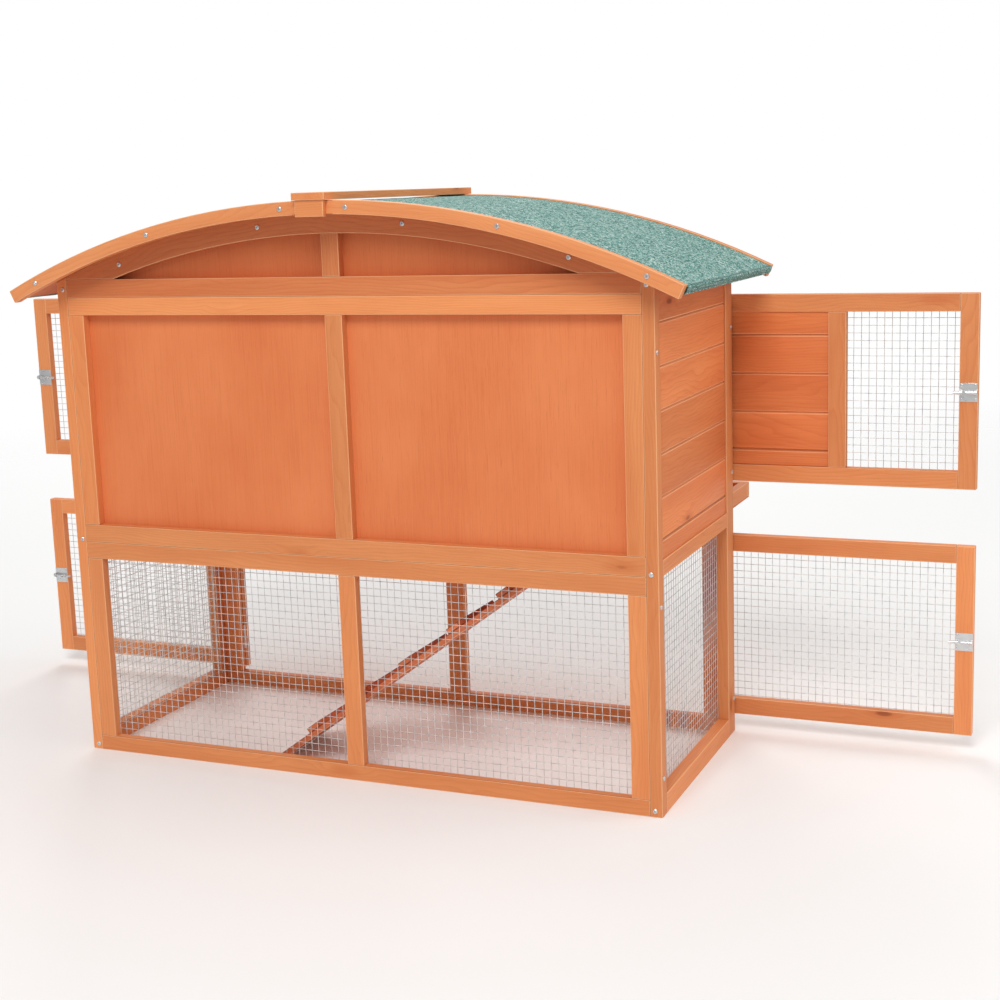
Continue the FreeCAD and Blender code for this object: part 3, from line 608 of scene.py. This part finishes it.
SQUARE = [box_corners(points) for node in nodes if "wood" in slot_of[node]
          for points, _ in solids(node) if len(points) <= SQUARE_POINTS]
LOWS = np.array([low for low, _ in SQUARE]) - SEAM
HIGHS = np.array([high for _, high in SQUARE]) + SEAM


def free_edge_or_joint(centre, points):
    """1 for an edge that stands free, -1 for one that lies against another board."""
    here = np.array(centre)
    low, high = box_corners(points)
    within = np.all((here >= LOWS) & (here <= HIGHS), axis=1)
    own = np.all(np.abs(LOWS + SEAM - low) + np.abs(HIGHS - SEAM - high) < SEAM / 100, axis=1)
    return -1.0 if np.any(within & ~own) else 1.0


def eased(points, faces, ease):
    """One solid with eased edges: its mesh as points, faces and, for each face, 1 on a free edge,
    which is painted as a highlight, -1 in a joint and 0 elsewhere.
    """
    work = bmesh.new()
    made = [work.verts.new(p) for p in points]
    for face in faces:
        if len(set(face)) == len(face):
            try:
                work.faces.new([made[i] for i in face])
            except ValueError:
                continue
    bmesh.ops.dissolve_limit(work, angle_limit=FLAT, verts=work.verts[:], edges=work.edges[:])
    sharp = [e for e in work.edges if e.is_manifold and e.calc_face_angle(0) > SHARP]
    rounds = set(bmesh.ops.bevel(
        work, geom=sharp, offset=ease, segments=2, profile=0.5, affect="EDGES", clamp_overlap=True,
    )["faces"])
    work.verts.index_update()
    out_points = [tuple(v.co) for v in work.verts]
    out_faces = [[v.index for v in f.verts] for f in work.faces]
    edge_highlight_and_joint = [free_edge_or_joint(f.calc_center_median(), points) if f in rounds else 0.0
            for f in work.faces]
    work.free()
    return out_points, out_faces, edge_highlight_and_joint


def give(mesh, name, kind, domain, values):
    """Store one value, or one vector, for each point or face of a mesh."""
    field = "vector" if kind == "FLOAT_VECTOR" else "value"
    mesh.attributes.new(name, kind, domain).data.foreach_set(field, np.ravel(values))


def board_mesh(name, node, along=None, arched=False, ease=EASE, random_shade=1.0):
    """All the boards of a node in one mesh, with their grain, shade, and edge marks: free edges
    painted as highlights, and joints.
    """
    chance = random.Random(node)

    def aside():
        return chance.choice((-1, 1)) * chance.uniform(*HEART_AWAY)

    points, faces, grain, shade, edge_highlight_and_joint = [], [], [], [], []
    for corner_points, corner_faces in solids(node):
        board_points, board_faces, board_edge_marks = eased(corner_points, corner_faces, ease)
        place = np.array(board_points)
        follows_arch = arched or (along == "rim" and len(corner_points) > RIM_POINTS)
        rows = arched_grain(place) if follows_arch else straight_grain(place, along)
        heart = [chance.uniform(-TREE_LENGTH, TREE_LENGTH), aside(), aside()]
        grain.extend((rows - rows.mean(axis=0) + heart).tolist())
        faces.extend([[i + len(points) for i in face] for face in board_faces])
        points.extend(board_points)
        shade.extend([0.5 + random_shade * (chance.random() - 0.5)] * len(board_points))
        edge_highlight_and_joint.extend(board_edge_marks)
    mesh = bpy.data.meshes.new(name)
    mesh.from_pydata(points, [], faces)
    give(mesh, "grain", "FLOAT_VECTOR", "POINT", grain)
    give(mesh, "shade", "FLOAT", "POINT", shade)
    give(mesh, "edge_highlight_and_joint", "FLOAT", "FACE", edge_highlight_and_joint)
    mesh.shade_smooth()
    mesh.set_sharp_from_angle(angle=SMOOTH)
    return mesh


def add_piece(mesh, material, beside):
    """Show a finished mesh that rides on the same body as the node that it is beside."""
    piece = bpy.data.objects.new(mesh.name, mesh)
    bpy.context.scene.collection.objects.link(piece)
    mesh.materials.clear()
    mesh.materials.append(material)
    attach(piece, nodes[beside]["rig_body"])
    return piece


def stand_in(mesh, material, node):
    """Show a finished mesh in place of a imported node."""
    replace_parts(add_piece(mesh, material, node), node)


print("square solids that may lie against each other", len(SQUARE))

# %% [markdown]
# The frames, doors, tray and ramp are all fir, and the finish comes from the node's own
# material slot, but for a few pieces: the fascias are paler, the upper doors' boards deeper,
# and the gable frames take a darker copy of the fir, painted shade under the roof's overhang.
# The battens and the ramp get a darker, redder fir from their slot, painted shade for the
# inside of the hutch. The gable's rim and the fascias are sawn to the arch, and their grain
# follows it.

# %% Frames, boards and fascias
TIMBER = [node for node in nodes if slot_of[node] in ("frame_wood", "door_wood", "board_wood")]
INNER = ["floor_battens", "partition_batten", "tray_frame", "ramp_board", "ramp_cleats"]
FINISH_OF = {
    "tray_frame": "frame_wood", "fascia_rear": "fascia_wood", "fascia_front": "fascia_wood",
    # the gable frames take painted shade, a darker copy of the fir
    "rear_gable_frame": "gable_painted_shade_wood", "front_gable_frame": "gable_painted_shade_wood",
    "upper_left_door_boards": "panel_wood", "upper_right_door_boards": "panel_wood",
}
for node in TIMBER + INNER:
    along = "rim" if "gable_frame" in node else None
    mesh = board_mesh(node + "_timber", node, along=along, arched=node.startswith("fascia"))
    stand_in(mesh, FINISHES[FINISH_OF.get(node, slot_of[node])], node)
print("timber pieces", len(TIMBER + INNER))

# %% [markdown]
# The sheets are made in the same way as the boards. Only the direction of their grain
# differs: upright at the back, lengthwise in the floor and the tray, and unrolled round the
# arch for the bent roof boards and the felt that lies on them.

# %% Plywood and roof
SHEET_SHADE = 0.2       # sheets differ from each other far less than boards do
# The gable's sheets and the inside sheets get darker copies of the plywood: painted shade.
SHEETS = (
    ("rear_panels", "z", "ply"),
    ("rear_gable_panel", "z", "gable_painted_shade_ply"),
    ("front_gable_panel", "z", "gable_painted_shade_ply"),
    ("floor_deck", "x", "inner_painted_shade_ply"),
    ("tray_base", "x", "inner_painted_shade_ply"),
    ("partition", "z", "inner_painted_shade_ply"),
)
# the decks take the darker plywood: painted shade under the roof
BENT = [(f"roof_{layer}_{side}", finish) for side in ("left", "right")
        for layer, finish in (("deck", "inner_painted_shade_ply"), ("felt", "felt"))]
for node, along, finish in SHEETS:
    mesh = board_mesh(node + "_sheet", node, along=along, random_shade=SHEET_SHADE)
    stand_in(mesh, FINISHES[finish], node)
for node, finish in BENT:
    stand_in(board_mesh(node + "_sheet", node, arched=True), FINISHES[finish], node)
print("sheets", len(SHEETS), "flat,", len(BENT), "bent")

# %% [markdown]
# At the eave the felt is turned over the deck's end and doubled under, which makes a soft
# roll. A bevel on the thin felt could not be this round, so the roll is its own piece: a
# ring of points, flattened into an oval, is carried along the eave in short steps, and each
# step swells or shrinks a little, as a hand-folded edge does.

# %% Rolled felt at the eaves
ROLL_SIDES = 18
ROLL_STEPS = 48
ROLL_DEPTH = 0.0046         # half the roll's size along the slope
ROLL_OVER = 0.0008          # how far it stands above the felt
ROLL_UNEVEN = 0.0005
ROLL_DRIFT = 0.1            # keeps the grit from repeating in rings
ROLL_SMOOTH = math.radians(50)


def felt_roll(name, node):
    chance = random.Random(name)
    points = np.array([tuple(v.co) for v in nodes[node].data.vertices])
    along, radius, across = arched_grain(points).T
    side = math.copysign(1.0, along[np.argmax(np.abs(along))])
    centre_along = np.abs(along).max() + ROLL_OVER - ROLL_DEPTH
    centre_radius = (radius.max() + radius.min()) / 2
    half_height = (radius.max() - radius.min()) / 2 + ROLL_OVER
    ring_points, grain, faces = [], [], []
    for step in range(ROLL_STEPS + 1):
        y = across.min() + (across.max() - across.min()) * step / ROLL_STEPS
        swell = chance.uniform(-1, 1) * ROLL_UNEVEN
        for i in range(ROLL_SIDES):
            turn = 2 * math.pi * i / ROLL_SIDES
            length = centre_along + (ROLL_DEPTH + swell) * math.cos(turn)
            out = centre_radius + (half_height + swell) * math.sin(turn)
            angle = side * length / ARCH_RADIUS
            ring_points.append((out * math.sin(angle), y, ARCH_Z + out * math.cos(angle)))
            grain.append((length + out * math.cos(turn) * ROLL_DRIFT, half_height * turn, y))
    for step in range(ROLL_STEPS):
        for i in range(ROLL_SIDES):
            near, far = step * ROLL_SIDES, (step + 1) * ROLL_SIDES
            j = (i + 1) % ROLL_SIDES
            faces.append((near + i, near + j, far + j, far + i))
    last = len(ring_points) - 1
    faces.append(tuple(range(ROLL_SIDES)))
    faces.append(tuple(range(last, last - ROLL_SIDES, -1)))
    mesh = bpy.data.meshes.new(name)
    mesh.from_pydata(ring_points, [], faces)
    give(mesh, "grain", "FLOAT_VECTOR", "POINT", grain)
    shell = bmesh.new()
    shell.from_mesh(mesh)
    bmesh.ops.recalc_face_normals(shell, faces=shell.faces[:])
    shell.to_mesh(mesh)
    shell.free()
    mesh.shade_smooth()
    mesh.set_sharp_from_angle(angle=ROLL_SMOOTH)
    return mesh


for side in ("left", "right"):
    roll = felt_roll(f"felt_roll_{side}", f"roof_felt_{side}")
    add_piece(roll, FINISHES["felt"], f"roof_felt_{side}")
    reach = max(abs(v.co.x) for v in roll.vertices)
    print(roll.name, "reaches", round(reach, 4), "m from the middle")

# %% [markdown]
# Welded mesh is two flat layers of straight wires, one layer across the other, welded where
# they cross. Modelling one panel by hand would mean hundreds of wires, so a Geometry Nodes
# tree makes them from four sizes: width, height, pitch and wire thickness. A line of points
# takes one wire each, the wires are resampled and nudged by a little noise so that none is
# perfectly straight, and Curve to Mesh gives them their round section.

# %% The welded mesh tree
WIRE = 0.0011
PITCH = 0.0127
WIRE_SIDES = 7
WIRE_POINTS = 14                # along each wire
WIRE_LAYER = 0.42               # each layer's distance from the middle, in wires
WAVE_SCALE = 9.0
WAVE = (0.002, 0.0005, 0.002)   # how far a wire strays, in the panel and out of it
LEVEL_SEED = 3
UPRIGHT_SEED = 8


def new_tree(name, **sizes):
    tree = bpy.data.node_groups.new(name, "GeometryNodeTree")
    tree.interface.new_socket("Geometry", in_out="INPUT", socket_type="NodeSocketGeometry")
    for size, value in sizes.items():
        kind = "NodeSocketMaterial" if size == "Finish" else "NodeSocketFloat"
        socket = tree.interface.new_socket(size, in_out="INPUT", socket_type=kind)
        if value is not None:
            socket.default_value = value
    tree.interface.new_socket("Geometry", in_out="OUTPUT", socket_type="NodeSocketGeometry")
    return tree


def grow(tree, kind, inputs=None, **options):
    """Add a node to a tree and feed its inputs, where a node stands for its first output."""
    made = tree.nodes.new(kind)
    for option, setting in options.items():
        setattr(made, option, setting)
    for key, value in (inputs or {}).items():
        if isinstance(value, bpy.types.Node):
            value = value.outputs[0]
        if isinstance(value, bpy.types.NodeSocket):
            tree.links.new(value, made.inputs[key])
        else:
            made.inputs[key].default_value = value
    return made


def reckon(tree, operation, first, second=0.0):
    return grow(tree, "ShaderNodeMath", {0: first, 1: second}, operation=operation)


def inputs_of(tree):
    """The tree's own inputs, by name."""
    return {socket.name: socket for socket in grow(tree, "NodeGroupInput").outputs if socket.name}


def finished(tree, geometry, finish):
    """End a tree: real copies, and the finish on them."""
    real = grow(tree, "GeometryNodeRealizeInstances", {0: geometry})
    dressed = grow(tree, "GeometryNodeSetMaterial", {0: real, "Material": finish})
    grow(tree, "NodeGroupOutput", {0: dressed})


def wire_layer(tree, sizes, length, reach, layer, upright, seed):
    """Wires of one direction: as long as length, spread over reach."""
    steps = reckon(tree, "FLOOR", reckon(tree, "DIVIDE", reach, sizes["Pitch"]))
    left_over = reckon(tree, "SUBTRACT", reach, reckon(tree, "MULTIPLY", steps, sizes["Pitch"]))
    margin = reckon(tree, "MULTIPLY", left_over, 0.5)
    depth = reckon(tree, "MULTIPLY", sizes["Wire"], layer)
    start = grow(tree, "ShaderNodeCombineXYZ", {1: depth, (0 if upright else 2): margin})
    step = grow(tree, "ShaderNodeCombineXYZ", {(0 if upright else 2): sizes["Pitch"]})
    count = reckon(tree, "ADD", steps, 1.0)
    row = grow(tree, "GeometryNodeMeshLine", {
        "Count": count, "Start Location": start, "Offset": step})
    end = grow(tree, "ShaderNodeCombineXYZ", {(2 if upright else 0): length})
    wire = grow(tree, "GeometryNodeCurvePrimitiveLine", {"End": end})
    placed = grow(tree, "GeometryNodeInstanceOnPoints", {
        "Points": row, "Instance": wire})
    real = grow(tree, "GeometryNodeRealizeInstances", {0: placed})
    fine = grow(tree, "GeometryNodeResampleCurve", {"Curve": real, "Count": WIRE_POINTS})
    place = grow(tree, "GeometryNodeInputPosition")
    wave = grow(tree, "ShaderNodeTexNoise", {
        "Vector": place, "W": float(seed), "Scale": WAVE_SCALE}, noise_dimensions="4D")
    centred = grow(tree, "ShaderNodeVectorMath", {
        0: wave.outputs["Color"], 1: (0.5, 0.5, 0.5)}, operation="SUBTRACT")
    nudge = grow(tree, "ShaderNodeVectorMath", {
        0: centred, 1: WAVE}, operation="MULTIPLY")
    bent = grow(tree, "GeometryNodeSetPosition", {
        "Geometry": fine, "Offset": nudge})
    section = grow(tree, "GeometryNodeCurvePrimitiveCircle", {
        "Resolution": WIRE_SIDES, "Radius": reckon(tree, "MULTIPLY", sizes["Wire"], 0.5)})
    round_wire = grow(tree, "GeometryNodeCurveToMesh", {
        "Curve": bent, "Profile Curve": section, "Fill Caps": True})
    return round_wire


def mesh_tree():
    tree = new_tree("welded mesh", Width=0.4, Height=0.3, Pitch=PITCH, Wire=WIRE, Finish=None)
    sizes = inputs_of(tree)
    width, height = sizes["Width"], sizes["Height"]
    level = wire_layer(tree, sizes, width, height, -WIRE_LAYER, False, LEVEL_SEED)
    upright = wire_layer(tree, sizes, height, width, WIRE_LAYER, True, UPRIGHT_SEED)
    both = grow(tree, "GeometryNodeJoinGeometry")
    tree.links.new(level.outputs[0], both.inputs[0])
    tree.links.new(upright.outputs[0], both.inputs[0])
    finished(tree, both, sizes["Finish"])
    return tree


def run_tree(tree, source, **sizes):
    """Run a tree on a mesh with these sizes and return the plain mesh that it makes."""
    holder = bpy.data.objects.new("holder", source)
    bpy.context.scene.collection.objects.link(holder)
    modifier = holder.modifiers.new(tree.name, "NODES")
    modifier.node_group = tree
    for item in tree.interface.items_tree:
        if item.in_out == "INPUT" and item.name in sizes:
            modifier[item.identifier] = sizes[item.name]
    bpy.context.view_layer.update()
    evaluated = holder.evaluated_get(bpy.context.evaluated_depsgraph_get())
    made = bpy.data.meshes.new_from_object(evaluated)
    holder.modifiers.clear()
    bpy.data.objects.remove(holder)
    return made


WELDED = mesh_tree()
print("welded mesh tree has", len(WELDED.nodes), "nodes")

# %% [markdown]
# Each panel takes its place and size from the plain sheet that stands for it. The tree
# builds a panel lying in X and Z, so a panel on the hutch's end is turned a quarter about
# Z. A panel is then moved in its mesh, not by its object, so that the object stays at the
# origin and the joints can carry it.

# %% Mesh panels
EDGE = 0.004        # the wires' ends stay this far inside the sheet's edge
QUARTER = math.radians(90)
WIRE_SMOOTH = math.radians(60)


def corners(points):
    """The lowest and the highest corner of the box round some points."""
    return tuple(Vector(corner) for corner in box_corners(points))


def joined_mesh(name, parts):
    """One smooth mesh from several, which are used up."""
    joined = bmesh.new()
    for part in parts:
        joined.from_mesh(part)
        bpy.data.meshes.remove(part)
    mesh = bpy.data.meshes.new(name)
    joined.to_mesh(mesh)
    joined.free()
    mesh.shade_smooth()
    return mesh


def panel_mesh(name, panels):
    """One mesh for several panels, each given by its lowest and highest corner."""
    parts = []
    for low, high in panels:
        size = high - low
        sideways = size.x < size.y
        made = run_tree(WELDED, bpy.data.meshes.new("seed"), Width=max(size.x, size.y) - 2 * EDGE,
                        Height=size.z - 2 * EDGE, Pitch=PITCH, Wire=WIRE, Finish=FINISHES["mesh"])
        turn = Matrix.Rotation(QUARTER, 4, "Z") if sideways else Matrix.Identity(4)
        centre = (low + high) / 2
        corner = Vector((centre.x, low.y + EDGE, low.z + EDGE))
        if not sideways:
            corner = Vector((low.x + EDGE, centre.y, low.z + EDGE))
        made.transform(Matrix.Translation(corner) @ turn)
        parts.append(made)
    mesh = joined_mesh(name, parts)
    mesh.set_sharp_from_angle(angle=WIRE_SMOOTH)
    return mesh


MESH_NODES = [node for node in nodes if slot_of[node] == "mesh"]
wire_faces = 0
for node in MESH_NODES:
    panels = [corners(points) for points, _ in solids(node)]
    mesh = panel_mesh(node + "_wires", panels)
    stand_in(mesh, FINISHES["mesh"], node)
    wire_faces += len(mesh.polygons)
print("mesh panels", len(MESH_NODES), "faces", wire_faces)

# %% [markdown]
# The screws have flat-topped heads with a cross recess. A head is simple: a rim, a sloping
# crown and two crossed bars cut out of the middle. The tree builds one head from its
# radius and height, sets a copy on every point that it is given, stands each copy along the
# point's own "facing" direction and turns it by a chance angle, because no two screws
# stop at the same angle. The recess is cut once, before the copies are made.

# %% The screw tree
LARGE_RADIUS = 0.0039
LARGE_HEIGHT = 0.0019
HEAD_SIDES = 20
RIM_SHARE = 0.58        # of the head's height below its sloping crown
CROWN_SHARE = 0.74      # of the head's radius at its flat top
BAR_LENGTH = 1.05       # of the cross, in head radii
BAR_WIDTH = 0.24
SCREW_SEED = 4


def moved_up(tree, geometry, height):
    lift = grow(tree, "ShaderNodeCombineXYZ", {2: height})
    return grow(tree, "GeometryNodeTransform", {0: geometry, "Translation": lift})


def cut_cross(tree, head, sizes):
    cut = grow(tree, "GeometryNodeMeshBoolean", {0: head}, operation="DIFFERENCE")
    long_side = reckon(tree, "MULTIPLY", sizes["Radius"], BAR_LENGTH)
    short_side = reckon(tree, "MULTIPLY", sizes["Radius"], BAR_WIDTH)
    for x_side, y_side in ((long_side, short_side), (short_side, long_side)):
        block = grow(tree, "ShaderNodeCombineXYZ", {0: x_side, 1: y_side, 2: sizes["Height"]})
        bar = grow(tree, "GeometryNodeMeshCube", {"Size": block})
        raised = moved_up(tree, bar, sizes["Height"])
        tree.links.new(raised.outputs[0], cut.inputs[1])
    return cut


def chance_turn(tree, rotation, most, seed):
    """Turn a rotation about its own Z by a chance angle."""
    chance = grow(tree, "FunctionNodeRandomValue", {"Seed": seed}, data_type="FLOAT")
    chance.inputs[2].default_value = -most
    chance.inputs[3].default_value = most
    about = grow(tree, "ShaderNodeCombineXYZ", {2: chance.outputs[1]})
    turn = grow(tree, "FunctionNodeEulerToRotation", {0: about})
    both = grow(tree, "FunctionNodeRotateRotation", {0: rotation, 1: turn},
                rotation_space="LOCAL")
    return both


def screw_tree():
    tree = new_tree("screw heads", Radius=LARGE_RADIUS, Height=LARGE_HEIGHT, Finish=None)
    sizes = inputs_of(tree)
    radius = sizes["Radius"]
    rim_height = reckon(tree, "MULTIPLY", sizes["Height"], RIM_SHARE)
    rim = grow(tree, "GeometryNodeMeshCone", {
        "Vertices": HEAD_SIDES, "Radius Top": radius, "Radius Bottom": radius, "Depth": rim_height})
    crown = grow(tree, "GeometryNodeMeshCone", {
        "Vertices": HEAD_SIDES, "Radius Top": reckon(tree, "MULTIPLY", radius, CROWN_SHARE),
        "Radius Bottom": radius, "Depth": reckon(tree, "SUBTRACT", sizes["Height"], rim_height)})
    head = grow(tree, "GeometryNodeMeshBoolean", operation="UNION")
    tree.links.new(rim.outputs[0], head.inputs[1])
    tree.links.new(moved_up(tree, crown, rim_height).outputs[0], head.inputs[1])
    facing = grow(tree, "GeometryNodeInputNamedAttribute", {"Name": "facing"},
                  data_type="FLOAT_VECTOR")
    upright = grow(tree, "FunctionNodeAlignRotationToVector", {"Vector": facing},
                   axis="Z")
    placed = grow(tree, "GeometryNodeInstanceOnPoints", {
        "Points": sizes["Geometry"], "Instance": cut_cross(tree, head, sizes),
        "Rotation": chance_turn(tree, upright, math.pi, SCREW_SEED)})
    finished(tree, placed, sizes["Finish"])
    return tree


SCREWS = screw_tree()
print("screw tree has", len(SCREWS.nodes), "nodes")

# %% [markdown]
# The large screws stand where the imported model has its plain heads. A plain head shows its
# own direction: it is thinnest along its axis, and its narrow end is the outside. The small
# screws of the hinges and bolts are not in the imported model, so their places come from the
# plates that they hold, and they ride on the same body as their plate.

# %% Screws
SMALL_RADIUS = 0.0021
SMALL_HEIGHT = 0.0006
LEAF_THICK = 0.0012
LEAF_ROWS = ((0.0042, 0.16), (0.0082, 0.5), (0.0042, 0.84))    # in from the edge, share of height
PLATE_THICK = 0.0010
KEEPER_INSET = 0.003
LATCH_INSETS = (0.0034, 0.0036)


def head_at(points):
    """Where a plain head stands: the middle of its foot, and the way that it faces."""
    place = np.array(points)
    low, high = box_corners(points)
    axis = int(np.argmin(high - low))
    across = [i for i in range(3) if i != axis]
    middle = (low + high) / 2
    reach = np.linalg.norm(place[:, across] - middle[across], axis=1)
    top_reach = reach[place[:, axis] > high[axis] - 1 / WELD].max()
    low_reach = reach[place[:, axis] < low[axis] + 1 / WELD].max()
    outwards = 1.0 if top_reach < low_reach else -1.0
    facing = [0.0, 0.0, 0.0]
    facing[axis] = outwards
    middle[axis] = low[axis] if outwards > 0 else high[axis]
    return tuple(middle), tuple(facing)


def screw_mesh(name, places, radius, height):
    points = bpy.data.meshes.new("places")
    points.from_pydata([at for at, _ in places], [], [])
    give(points, "facing", "FLOAT_VECTOR", "POINT", [way for _, way in places])
    made = run_tree(SCREWS, points, Radius=radius, Height=height, Finish=FINISHES["zinc"])
    made.name = name
    return made


def leaf_screws(low, high, towards):
    """Three screws in a staggered row on a hinge leaf that lies against its timber."""
    y = high.y - LEAF_THICK if towards < 0 else low.y + LEAF_THICK
    outer = high.x if abs(high.x) > abs(low.x) else low.x
    inwards = -math.copysign(1.0, outer)
    return [((outer + inwards * inset, y, low.z + share * (high.z - low.z)), (0.0, towards, 0.0))
            for inset, share in LEAF_ROWS]


def plate_screws(low, high, towards, x_inset, z_inset):
    """A screw near each corner of a plate, or one above the other on its middle line."""
    y = high.y - PLATE_THICK if towards < 0 else low.y + PLATE_THICK
    return [((x, y, z), (0.0, towards, 0.0))
            for x in sorted({low.x + x_inset, high.x - x_inset})
            for z in (low.z + z_inset, high.z - z_inset)]


large = [head_at(points) for points, _ in solids("screws")]
stand_in(screw_mesh("screw_heads", large, LARGE_RADIUS, LARGE_HEIGHT), FINISHES["zinc"], "screws")

fixed = []
for points, _ in solids("door_hinges_fixed"):
    fixed += leaf_screws(*corners(points), -1.0)
for points, _ in solids("bolt_keepers"):
    low, high = corners(points)
    fixed += plate_screws(low, high, -1.0, (high.x - low.x) / 2, KEEPER_INSET)
add_piece(screw_mesh("fixed_small_screws", fixed, SMALL_RADIUS, SMALL_HEIGHT),
          FINISHES["zinc"], "door_hinges_fixed")
DOORS = [f"{storey}_{side}_door" for storey in ("upper", "lower") for side in ("right", "left")]
for door in DOORS:
    turning = []
    for points, _ in solids(door + "_hinges"):
        turning += leaf_screws(*corners(points), 1.0)
    plate, _ = solids(door + "_latch")[0]
    turning += plate_screws(*corners(plate), 1.0, *LATCH_INSETS)
    add_piece(screw_mesh(door + "_small_screws", turning, SMALL_RADIUS, SMALL_HEIGHT),
              FINISHES["zinc"], door + "_latch")
print("screws", len(large), "large, small:", len(fixed), "on the frame,", len(turning), "on a door")

# %% [markdown]
# The mesh is stapled to the backs of its frames. A staple is a short bow of wire with both
# feet in the timber. Its tree runs round a panel's edge, drops a staple every few
# centimetres and turns each one a little, as a quick hand with a staple gun leaves them.

# %% The staple tree and the staples
STAPLE_CROWN = 0.0095       # from foot to foot
STAPLE_RISE = 0.0030        # of the handles that bend the bow
STAPLE_FOOT = -0.0010       # the feet end in the timber
STAPLE_WIRE = 0.0009
STAPLE_SPACING = 0.052
STAPLE_INSET = 0.0045       # from the mesh's edge
STAPLE_TURN = 0.45          # the most that one is askew
STAPLE_SEED = 11
BOW_POINTS = 7
BOW_SIDES = 5


def staple_tree():
    tree = new_tree("staples", Width=0.4, Height=0.3, Spacing=STAPLE_SPACING, Crown=STAPLE_CROWN,
                    Wire=STAPLE_WIRE, Finish=None)
    sizes = inputs_of(tree)
    outline = grow(tree, "GeometryNodeCurvePrimitiveQuadrilateral", {
        "Width": sizes["Width"], "Height": sizes["Height"]})
    marks = grow(tree, "GeometryNodeCurveToPoints", {
        "Curve": outline, "Length": sizes["Spacing"]}, mode="LENGTH")
    half = reckon(tree, "MULTIPLY", sizes["Crown"], 0.5)
    other = reckon(tree, "MULTIPLY", sizes["Crown"], -0.5)
    feet = [grow(tree, "ShaderNodeCombineXYZ", {0: x, 2: z})
            for x, z in ((other, STAPLE_FOOT), (other, STAPLE_RISE),
                         (half, STAPLE_RISE), (half, STAPLE_FOOT))]
    bow = grow(tree, "GeometryNodeCurvePrimitiveBezierSegment", {
        "Resolution": BOW_POINTS, "Start": feet[0], "Start Handle": feet[1],
        "End Handle": feet[2], "End": feet[3]})
    section = grow(tree, "GeometryNodeCurvePrimitiveCircle", {
        "Resolution": BOW_SIDES, "Radius": reckon(tree, "MULTIPLY", sizes["Wire"], 0.5)})
    staple = grow(tree, "GeometryNodeCurveToMesh", {
        "Curve": bow, "Profile Curve": section, "Fill Caps": True})
    along = grow(tree, "FunctionNodeAlignRotationToVector", {"Vector": marks.outputs["Tangent"]},
                 axis="X")
    placed = grow(tree, "GeometryNodeInstanceOnPoints", {
        "Points": marks.outputs["Points"], "Instance": staple,
        "Rotation": chance_turn(tree, along, STAPLE_TURN, STAPLE_SEED)})
    finished(tree, placed, sizes["Finish"])
    return tree


STAPLES = staple_tree()
STAND = Matrix.Rotation(QUARTER, 4, "X")        # a panel laid flat, stood up facing -Y
FACES_OUT = {
    "side_mesh_right": Matrix.Rotation(-QUARTER, 4, "Z"),
    "side_mesh_left": Matrix.Rotation(QUARTER, 4, "Z"),
}

staple_faces = 0
for node in MESH_NODES:
    turn = FACES_OUT.get(node, Matrix.Identity(4)) @ STAND
    parts = []
    for points, _ in solids(node):
        low, high = corners(points)
        size = high - low
        made = run_tree(STAPLES, bpy.data.meshes.new("seed"),
                        Width=max(size.x, size.y) - 2 * STAPLE_INSET,
                        Height=size.z - 2 * STAPLE_INSET, Spacing=STAPLE_SPACING,
                        Crown=STAPLE_CROWN, Wire=STAPLE_WIRE, Finish=FINISHES["zinc"])
        wood_face = turn @ Vector((0, 0, -min(size.x, size.y) / 2))
        made.transform(Matrix.Translation((low + high) / 2 + wood_face) @ turn)
        parts.append(made)
    mesh = joined_mesh(node + "_staples", parts)
    add_piece(mesh, FINISHES["zinc"], node)
    staple_faces += len(mesh.polygons)
print("staple faces", staple_faces)

# %% [markdown]
# Pressed and rolled metal has softer edges than a drawing of it, so the bolts' plates,
# their keepers and the hinges get a fine round too. The sliding bolts are turned rod and
# keep their own mesh with the bright zinc finish.

# %% Bolts and hinges
METAL_EASE = 0.00028
PRESSED = ["bolt_keepers", "door_hinges_fixed"]
PRESSED += [f"{door}_{part}" for door in DOORS for part in ("latch", "hinges")]
for node in PRESSED:
    stand_in(board_mesh(node + "_plate", node, ease=METAL_EASE), FINISHES["zinc"], node)
for node, piece in nodes.items():
    if slot_of[node] == "zinc" and node not in PRESSED and node != "screws":
        piece.data.materials.clear()
        piece.data.materials.append(FINISHES["zinc"])
print("pressed pieces", len(PRESSED))
